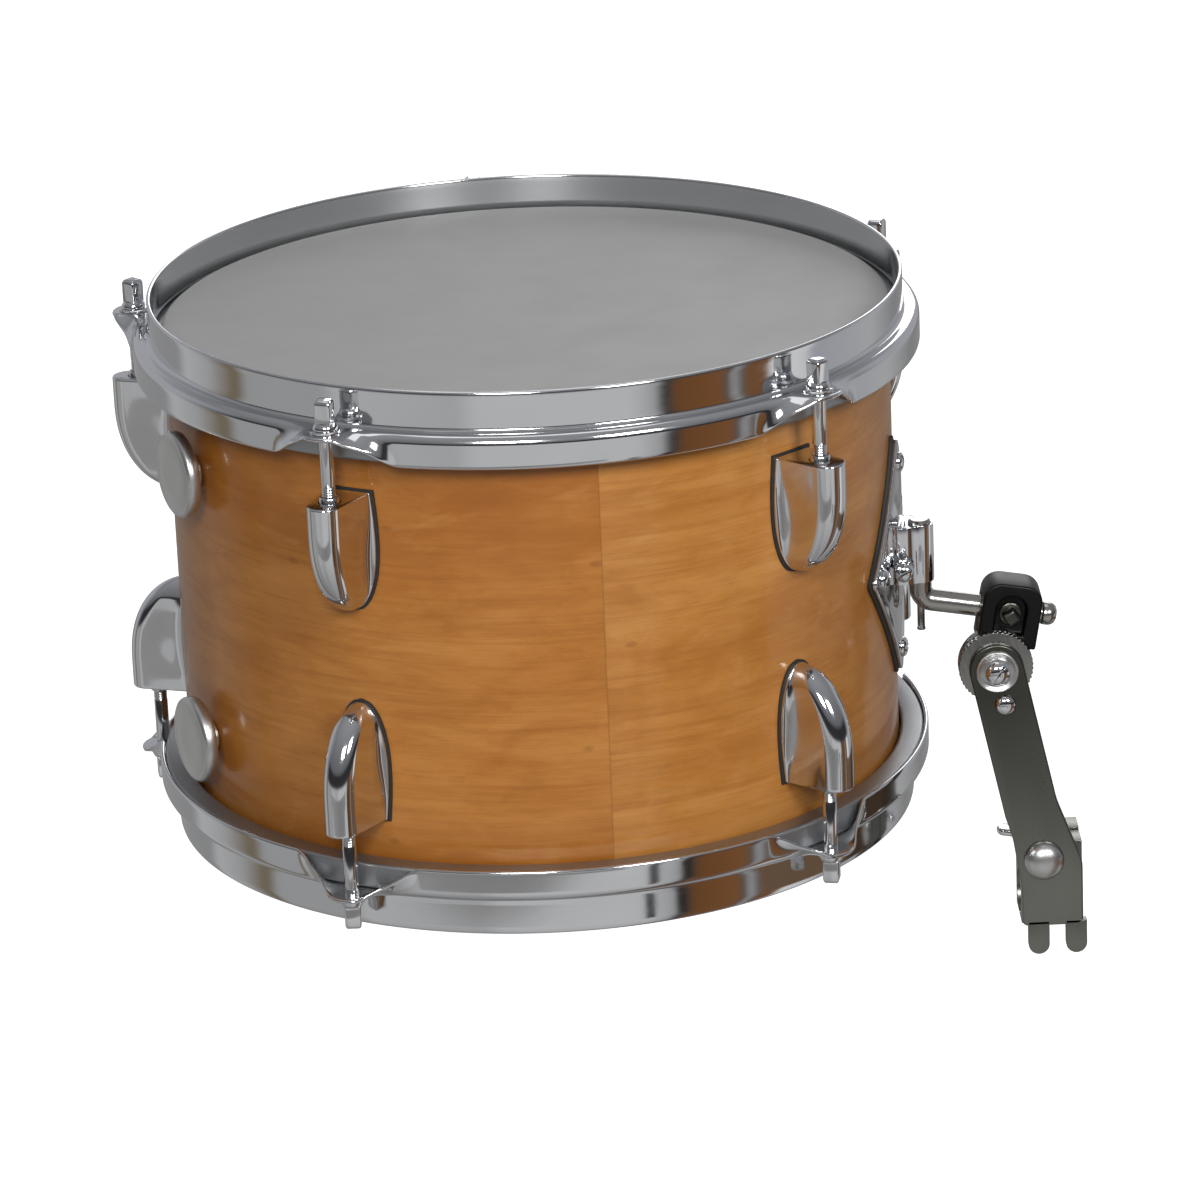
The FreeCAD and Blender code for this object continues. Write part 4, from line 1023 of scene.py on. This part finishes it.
def make_clamp():
    """The cast clamp on the diamond: a split barrel round the leg on a stepped foot."""
    place = seat(BRACKET_ANGLE)
    low, high = box_mm("bracket_clamp")
    low_z, high_z = low.z - DRUM.z, high.z - DRUM.z
    leg = (place.inverted() @ joint_mm("drum_swivel")).x
    outline = rounded([(155.2, 9.3), (158.8, 8.9), (leg, 5.9)], 1.2, 4)
    right = outline + arc((leg, 0), 5.9, 90, 0, 12)[1:]
    loop = right + [(x, -y) for x, y in reversed(right[:-1])]
    body = loft("clamp_body", [[(x, y, z) for x, y in loop] for z in (low_z, high_z)], CHROME, place)
    leg_hole = bore(4.82, place @ Matrix.Translation((leg, 0, 0)), CHROME, 48, 60)
    slit = block("clamp_slit", (leg + 3, -0.7, low_z - 5), (leg + 20, 0.7, high_z + 5), CHROME, place)
    carve(body, [leg_hole, slit])
    bevelled(body, 0.7, 3, 50)
    finish_piece(body, "drum", ["bracket_clamp"])

    spot = place.inverted() @ joint_mm("clamp_bolt_turn")
    outward = place @ Matrix.Translation(spot) @ Z_TO_PLAYER
    profile = [(0, 5.25), (2.35, 5.25), (2.35, 9.2), (3.2, 9.2), (3.5, 9.6), (3.5, 12.4), (3.0, 12.8),
               (3.0, 13.4), (3.5, 13.8), (3.5, 16.4), (3.2, 17.0), (3.9, 17.3), (4.2, 18.0), (4.2, 19.4),
               (3.9, 20.5), (3.1, 21.4), (1.8, 21.9), (0, 22.1)]
    bolt = turned("clamp_bolt_piece", profile, CHROME, outward, 64)
    notch = block("bolt_notch", (-6, -0.5, 20.9), (6, 0.5, 24), CHROME,
                  outward @ Matrix.Rotation(0.5, 4, "Z"))
    carve(bolt, [notch])
    finish_piece(shade(bolt, 35), "clamp_key_bolt", ["clamp_key_bolt"])


# ---------------------------------------------------------------- holder
def make_holder_rod():
    """One bent bar: upright leg, elbow, sloping reach through the knuckle and a button end."""
    leg = joint_mm("drum_swivel")
    knuckle = joint_mm("rod_roll")
    slope = Vector(joints["rod_roll"]["axis"]).normalized()
    radius, bend, reach = 4.75, 5.6, 50.6
    corner = knuckle - slope * ((knuckle.x - leg.x) / slope.x)
    up = Vector((0, 0, 1))
    half_turn = math.acos(max(-1, min(1, slope.dot(-up)))) / 2
    setback = bend * math.tan(half_turn)
    start, end = Vector((leg.x, leg.y, box_mm("holder_rod")[1].z)), corner + slope * reach
    before, after = corner + up * setback, corner + slope * setback
    inward = (up + slope).normalized()
    centre = corner + inward * (bend / math.cos(half_turn))
    first, last = before - centre, after - centre
    path = [start - up * 0.9, start.lerp(before, 0.5), before]
    path += [centre + first.slerp(last, i / 12) * bend for i in range(1, 12)]
    path += [after, after.lerp(end, 0.5), end]
    side = up.cross(slope).normalized()
    turns = [TAU * k / 48 for k in range(48)]
    sections = []
    for i, point in enumerate(path):
        ahead = path[min(i + 1, len(path) - 1)] - path[max(i - 1, 0)]
        out = side.cross(ahead.normalized()).normalized()
        sections.append([point + (out * math.cos(a) + side * math.sin(a)) * radius for a in turns])
    sections.insert(0, [p + up * 0.9 - (p - path[0]) * 0.2 for p in sections[0]])
    bar = loft("rod_bar", sections, ROD_STEEL)
    button = [(0, 49.8), (4.0, 49.8), (4.0, 51.2), (4.5, 51.4), (4.85, 51.9), (4.85, 54.4), (4.55, 55.7),
              (3.7, 56.9), (2.2, 57.6), (0, 57.85)]
    pin = [(0, 0), (1.6, 0), (1.6, 12.6), (1.8, 12.9), (1.8, 13.6), (1.3, 13.85), (0, 13.87)]
    ends = [turned("rod_button", button, CHROME, along(corner, slope), 48),
            turned("elbow_stud", pin, CHROME, along(corner, -up), 32)]
    rod = shade(join("bent_holder_rod", [bar] + ends), 40)
    finish_piece(rod, "holder_rod", ["holder_rod"])


def knuckle_frame():
    slope = Vector(joints["rod_roll"]["axis"]).normalized()
    turn = Matrix.Rotation(math.atan2(-slope.z, slope.x), 4, "Y")
    return Matrix.Translation(joint_mm("rod_roll")) @ turn


def make_knuckle():
    """A cast housing with an arched window, fixed to the upper half of the ratchet."""
    place = knuckle_frame()
    pivot = place.inverted() @ joint_mm("ratchet_tilt")
    wide, up, down, front, back = 12.5, 13.5, 14.0, -9.0, 9.0
    crown, window_half, floor = 7.5, 6.4, front + 4.0
    shoulder = up - crown
    outline = [(-wide, -down), (-wide, shoulder)] + arc((-wide + crown, shoulder), crown, 180, 90, 8)
    outline += arc((wide - crown, shoulder), crown, 90, 0, 8) + [(wide, shoulder), (wide, -down)]
    housing = prism("knuckle_housing", outline, (front, back), KNUCKLE_BLACK, place)
    arch = [(window_half, -8.5)] + arc((0, 2.1), window_half, 0, 180, 20) + [(-window_half, -8.5)]
    arch = rounded(arch + arch[:1], 1.2, 4)[:-1]
    window = prism("window", arch, (front - 2, floor), KNUCKLE_BLACK, place)
    carve(housing, [window, bore(4.85, place @ Z_TO_X, KNUCKLE_BLACK)])
    bevelled(housing, 1.1, 3, 50)
    rim = arc((pivot.x, pivot.z), 15.6, 0, 360, 144)[:-1]
    disc = bevelled(prism("knuckle_boss", rim, (front + 0.05, front + 6.0), RATCHET_STEEL, place), 0.8, 3, 50)
    carve(disc, [bore(4.05, place @ along(pivot, (0, 1, 0)), CHROME, 40)])
    finish_piece(shade(housing, 45), "knuckle", ["knuckle"])
    finish_piece(shade(disc, 45), "knuckle")

    facing = place @ along(Vector((0, floor, 0)), (0, -1, 0))
    collar = turned("key_collar", [(0, -0.4), (2.9, -0.4), (2.9, 0.12), (4.5, 0.12), (4.8, 0.4), (4.7, 1.2),
                                   (4.2, 1.5), (0, 1.7)], GUNMETAL, facing, 48)
    head = square_head("key_square", 1.4, 7.8, 2.9, GUNMETAL, facing @ Matrix.Rotation(math.pi / 4, 4, "Z"))
    bolt = shade(join("knuckle_bolt", [collar, head]), 35)
    finish_piece(bolt, "knuckle_key_bolt", ["knuckle_key_bolt"])


def arm_frame():
    """X across the arm, Y away from the player, Z up the arm, at the ratchet's pivot."""
    pivot = joint_mm("ratchet_tilt")
    bolt = middle_mm("rail_bolt")
    lean = math.atan2(bolt.x - pivot.x, pivot.z - bolt.z)
    length = math.hypot(bolt.x - pivot.x, pivot.z - bolt.z)
    return Matrix.Translation(pivot) @ Matrix.Rotation(-lean, 4, "Y"), length


def make_ratchet(place, disc_front, disc_back):
    """The toothed lower half of the ratchet, on the arm."""
    corners, crest, tooth = 4 * 48, 15.75, 0.45
    rim = []
    for k in range(corners):
        a = TAU * k / corners
        r = crest - (tooth if k % 4 in (1, 2) else 0.0)
        rim.append((r * math.cos(a), r * math.sin(a)))
    ratchet = prism("ratchet_teeth", rim, (disc_front, disc_back), RATCHET_STEEL, place)
    finish_piece(bevelled(ratchet, 0.25, 2, 40), "holder_arm", ["ratchet_disc"])


def make_arm():
    """The flat arm with its folded foot, the jaws round the rail, and the bolts through them."""
    place, length = arm_frame()
    pivot_y = joint_mm("ratchet_tilt").y
    disc_front, disc_back = (corner.y - pivot_y for corner in box_mm("ratchet_disc"))
    make_ratchet(place, disc_front, disc_back)

    low = box_mm("holder_arm")[0]
    arm_front = low.y - pivot_y
    to_arm = place.inverted()
    half = 11.5
    jaw_low, jaw_high = box_mm("rail_jaw")
    foot = [to_arm @ Vector((x, pivot_y, z)) for x, z in
            ((jaw_high.x, jaw_high.z - 9), (jaw_high.x, jaw_low.z), (jaw_low.x, jaw_low.z),
             (jaw_low.x, 8.0), (jaw_low.x - 3.4, jaw_high.z + 2))]
    outline = arc((0, 0), half, 180, 0, 28)
    outline += [(half, -length * 0.72)]
    outline += [(p.x, p.z) for p in foot]
    outline += [(-half, -length * 0.74)]
    outline = rounded(outline, 3.0, 4)
    bar = prism("arm_bar", outline, (arm_front, disc_front), GUNMETAL, place)
    bevelled(bar, 0.8, 3, 35)

    rail_r, jaw_gap = 9.6, 0.5
    front_jaw = block("arm_jaw", (jaw_low.x, low.y + 3.6, jaw_low.z),
                      (jaw_high.x, -jaw_gap, jaw_high.z - 1), GUNMETAL)
    carve(front_jaw, [bore(rail_r, Z_TO_X, GUNMETAL, 72)])
    bevelled(front_jaw, 0.9, 3, 50)
    tabs = []
    for middle in (-6, 10):
        w = 4.5
        loop = [(middle - w, jaw_low.z + 2), (middle - w, low.z + 4)]
        loop += arc((middle, low.z + w), w, 180, 360, 12) + [(middle + w, jaw_low.z + 2)]
        tab = prism("arm_tab", loop, (low.y, low.y + 4.0), GUNMETAL)
        tabs.append(bevelled(tab, 0.8, 3, 40))
    arm = join("flat_arm", [bar, front_jaw] + tabs)
    finish_piece(arm, "holder_arm", ["holder_arm"])

    rear = block("rear_jaw_block", (jaw_low.x, jaw_gap, jaw_low.z), jaw_high, GUNMETAL)
    carve(rear, [bore(rail_r, Z_TO_X, GUNMETAL, 72)])
    bevelled(rear, 1.4, 3, 50)
    finish_piece(rear, "holder_arm", ["rail_jaw"])

    outward = place @ Matrix.Translation((0, arm_front, 0)) @ Z_TO_PLAYER
    dish = [(4.1, 0), (8.6, 0), (8.95, 0.3), (9.0, 1.2), (8.85, 1.8), (8.5, 2.05), (8.1, 1.95), (7.6, 1.55),
            (7.0, 1.2), (6.3, 0.95), (5.6, 0.82), (4.1, 0.8)]
    washer = turned("dished_disc", dish, ALLOY, outward, 72, closed=True)
    finish_piece(washer, "holder_arm", ["dished_washer"])
    bolt_profile = [(0, -22.5), (3.5, -22.5), (3.95, -22), (3.95, 0.85), (5.4, 0.9), (5.5, 1.3), (5.5, 2.6),
                    (5.2, 3.7), (4.4, 4.8), (3.1, 5.6), (1.6, 5.95), (0, 6.05)]
    bolt = turned("ratchet_bolt_piece", bolt_profile, CHROME, outward, 48)
    slot = block("bolt_slot", (-7, -0.55, 4.9), (7, 0.55, 9), CHROME,
                 outward @ Matrix.Rotation(0.7, 4, "Z"))
    carve(bolt, [slot])
    finish_piece(shade(bolt, 35), "holder_arm", ["ratchet_bolt"])
    button = [(0, 0), (4.3, 0), (4.5, 0.3), (4.3, 1.4), (3.5, 2.4), (1.9, 3.0), (0, 3.2)]
    pin = turned("stop_pin_head", button, CHROME, outward @ Matrix.Translation((0, -15.5, 0)), 40)
    finish_piece(pin, "holder_arm", ["arm_stop_pin"])

    rail_bolt = middle_mm("rail_bolt")
    face = Vector((rail_bolt.x, low.y, rail_bolt.z))
    dome = [(0, -36), (3.2, -36), (3.5, -35.6), (3.5, 0), (8.2, 0), (8.6, 0.4), (8.4, 1.8), (7.4, 3.6),
            (5.6, 4.9), (3.0, 5.8), (0, 6.1)]
    bolt = turned("domed_rail_bolt", dome, ALLOY, along(face, (0, -1, 0)), 64)
    finish_piece(bolt, "holder_arm", ["rail_bolt"])


def make_wing_nut():
    """Hub with two swept ears."""
    centre = joint_mm("wing_nut_turn")
    place = along(Vector((centre.x, box_mm("rail_wing_nut")[0].y, centre.z)), (0, 1, 0))
    barrel = [(3.56, 0), (6.2, 0), (6.5, 0.4), (6.2, 3.5), (5.0, 8.6), (4.4, 9.0), (3.56, 9.0)]
    hub = turned("wing_hub", barrel, CHROME, place, 48, closed=True)
    ears = []
    for sign in (-1, 1):
        outline = rounded([(sign * 4.6, 0.8), (sign * 9, 1.6), (sign * 16.4, 5.0), (sign * 17.0, 10.5),
                           (sign * 13.2, 12.8), (sign * 8.0, 9.0), (sign * 4.4, 8.0)], 2.4, 5)
        flat = prism("wing_ear", outline, (-1.5, 1.5), CHROME, place)
        ears.append(bevelled(flat, 1.0, 3, 40))
    nut = shade(join("rail_wing", [hub] + ears), 40)
    finish_piece(nut, "rail_wing_nut", ["rail_wing_nut"])


# ---------------------------------------------------------------- carried-over CAD nodes
def dress(node, material):
    obj = nodes[node]
    obj.data.materials.clear()
    obj.data.materials.append(material)


def dress_hidden_hardware():
    dress("reinforcement_rings", RAW_MAPLE)
    dress("lug_screws", ZINC)
    dress("vent_grommet", CHROME)
    dress("ratchet_nut", CHROME)
    for side, _ in SIDES:
        for part in ("muffler_spindle", "muffler_bracket", "muffler_arm"):
            dress(f"{side}_{part}", ZINC)


# ---------------------------------------------------------------- studio
def flat_board(name, size, at, material, turn=None):
    """A flat rectangle, wide by tall, facing +Z before its turn."""
    wide, tall = size[0] / 2, size[1] / 2
    mesh = bpy.data.meshes.new(name)
    mesh.from_pydata([(-wide, -tall, 0), (wide, -tall, 0), (wide, tall, 0), (-wide, tall, 0)],
                     [], [(0, 1, 2, 3)])
    board = bpy.data.objects.new(name, mesh)
    board.location = at
    if turn is not None:
        board.rotation_mode = "QUATERNION"
        board.rotation_quaternion = turn
    bpy.context.scene.collection.objects.link(board)
    board.data.materials.append(material)
    return board


def make_floor():
    """A white floor that only the camera sees; the chrome reflects the grey room instead."""
    material, net = new_material("floor")
    mottle = net.noise(net.place(), 3, 2)
    net.feed("Base Color", net.mix(mottle, (0.80, 0.80, 0.80), (0.77, 0.77, 0.77)))
    net.feed("Roughness", 1.0)
    net.feed("Specular IOR Level", 0.0)
    net.feed("Emission Color", (1, 1, 1, 1))
    net.feed("Emission Strength", FLOOR_GLOW)
    floor = flat_board("floor", (18, 18), (0, 0, cad_low.z - FLOOR_DROP), material)
    floor.visible_glossy = False
    floor.visible_diffuse = False
    floor.visible_shadow = False


def area_light(name, at, aim, size, power):
    data = bpy.data.lights.new(name, "AREA")
    data.energy = power
    data.shape = "SQUARE"
    data.size = size
    light = bpy.data.objects.new(name, data)
    light.location = at
    light.rotation_mode = "QUATERNION"
    light.rotation_quaternion = (aim - at).to_track_quat("-Z", "Y")
    bpy.context.scene.collection.objects.link(light)


def studio_card(name, at, aim, size, colour, reflected):
    """A board out of the camera's sight: the chrome reflects it, or it shades the soft light."""
    material, net = new_material(name)
    net.feed("Base Color", (*colour, 1))
    net.feed("Roughness", 1.0 if reflected else 0.5)
    card = flat_board(name, size, at, material, (aim - at).to_track_quat("Z", "Y"))
    card.visible_camera = False
    card.visible_shadow = False
    card.visible_glossy = reflected
    card.visible_diffuse = not reflected


def around(azimuth, reach, rise):
    """A studio point by its angle to the right of the player, seen from the drum."""
    a = math.radians(azimuth)
    return DRUM * MM + Vector((reach * math.sin(a), -reach * math.cos(a), rise))


def make_lights():
    """Soft lamps, the cards that the chrome reflects, two black flags and the room."""
    aim, black = DRUM * MM, (0.01, 0.01, 0.01)
    area_light("key_left", around(-7, 2.5, 1.45), aim, 0.70, 34)
    area_light("key_right", around(29, 2.4, 1.35), aim, 0.65, 29)
    area_light("overhead", around(180, 0.5, 2.2), aim, 1.3, 4)
    area_light("back_fill", around(170, 2.6, 0.9), aim, 1.2, 9)
    cards = (("stand_near", 27, 0.76, -0.30, (0.035, 0.20), black),
             ("stand_far", 36, 0.76, -0.30, (0.035, 0.20), black),
             ("low_front", -19, 0.80, -0.30, (1.28, 0.16), (0.80, 0.79, 0.76)),
             ("low_right", 88, 0.60, -0.29, (0.60, 0.15), (0.38, 0.23, 0.13)))
    for name, azimuth, reach, rise, size, colour in cards:
        studio_card(name, around(azimuth, reach, rise), around(azimuth, 0.1, rise), size, colour, True)
    for name, azimuth, reach in (("flag_left", -100, 0.55), ("flag_right", 98, 0.60)):
        studio_card(name, around(azimuth, reach, 0.0), aim, (0.75, 0.75), black, False)
    make_world()


# the room's brightness or colour at each angle to the right of the player
RING = ((-180, 0.30), (-132, 0.30), (-126, 0.50), (-112, 0.40), (-101, (0.20, 0.16, 0.11)),
        (-98, (0.20, 0.16, 0.11)), (-94, 0.38), (-64, 0.38), (-60, 0.52), (-22, 0.46), (-16, 0.58),
        (30, 0.60), (38, 0.42), (40, 0.03), (42, 0.04), (44, (0.17, 0.070, 0.024)),
        (60, (0.22, 0.092, 0.032)), (62, 0.06), (64, 0.45), (67, 0.10), (69, (0.20, 0.085, 0.030)),
        (76, (0.18, 0.075, 0.026)), (78, 0.85), (92, 0.70), (96, (0.40, 0.40, 0.44)), (128, 0.46),
        (150, 0.25), (180, 0.30))
# its brightness from just under the horizon up to the ceiling
SKY = ((0.0, (0.20, 0.20, 0.20)), (0.11, (0.035, 0.035, 0.037)), (0.24, (0.03, 0.03, 0.032)),
       (0.32, (0.16, 0.16, 0.17)), (0.60, (0.22, 0.22, 0.23)), (1.0, (0.34, 0.34, 0.35)))


def make_world():
    """A grey room: its lower half varies round the player, its horizon is dark."""
    world = bpy.data.worlds.new("studio")
    bpy.context.scene.world = world
    world.use_nodes = True
    net = Net(world.node_tree)
    x, y, height = net.split(net.add("ShaderNodeTexCoord").outputs["Generated"])
    turn = net.remap(net.math("ARCTAN2", x, net.times(y, -1.0)), 0.0, 1.0, -math.pi, math.pi)
    ring = net.ramp(turn, [((a + 180) / 360, c if isinstance(c, tuple) else (c, c, c)) for a, c in RING])
    ring = net.mix(net.remap(height, 0.55, 0.0, -1.0, -0.45), ring, (0.12, 0.115, 0.11))
    sky = net.ramp(net.remap(height, 0.0, 1.0, -0.2, 1.0), SKY)
    behind = net.times(net.remap(y, 0.0, 1.0, 0.0, 0.5), net.remap(height, 1.0, 0.0, 0.38, 0.60))
    sky = net.mix(behind, sky, (0.42, 0.42, 0.45))
    background = world.node_tree.nodes["Background"]
    net.put(net.mix(net.remap(height, 0.0, 1.0, -0.12, -0.08), ring, sky), background.inputs["Color"])
    background.inputs["Strength"].default_value = 1.0
    bpy.context.scene.view_settings.view_transform = "Standard"


def make_camera():
    """Where the player's eye is: level with the seat, 19 degrees above the drum's middle."""
    away, rise = 2.372, 0.823
    eye = DRUM * MM + Vector((0, -away, rise))
    target = (cad_low + cad_high) / 2
    target = Vector((target.x, DRUM.y * MM, target.z + 0.004))
    data = bpy.data.cameras.new("camera")
    data.sensor_width = 36
    data.lens = 178
    camera = bpy.data.objects.new("camera", data)
    camera.location = eye
    camera.rotation_mode = "QUATERNION"
    look = (target - eye).to_track_quat("-Z", "Y")
    roll = Matrix.Rotation(math.radians(-2.4), 3, "Z").to_quaternion()
    camera.rotation_quaternion = look @ roll
    bpy.context.scene.collection.objects.link(camera)
    bpy.context.scene.camera = camera


# ---------------------------------------------------------------- build
make_shell()
for side_name, turned_over in SIDES:
    make_head(side_name, turned_over)
    make_hoop(side_name, turned_over)
make_lug_casings()
make_lug_gaskets()
make_swivel_nuts()
make_tension_rods()
make_knobs()
make_felt_pads()
make_bracket()
make_clamp()
make_holder_rod()
make_knuckle()
make_arm()
make_wing_nut()
dress_hidden_hardware()
make_floor()
make_lights()
make_camera()
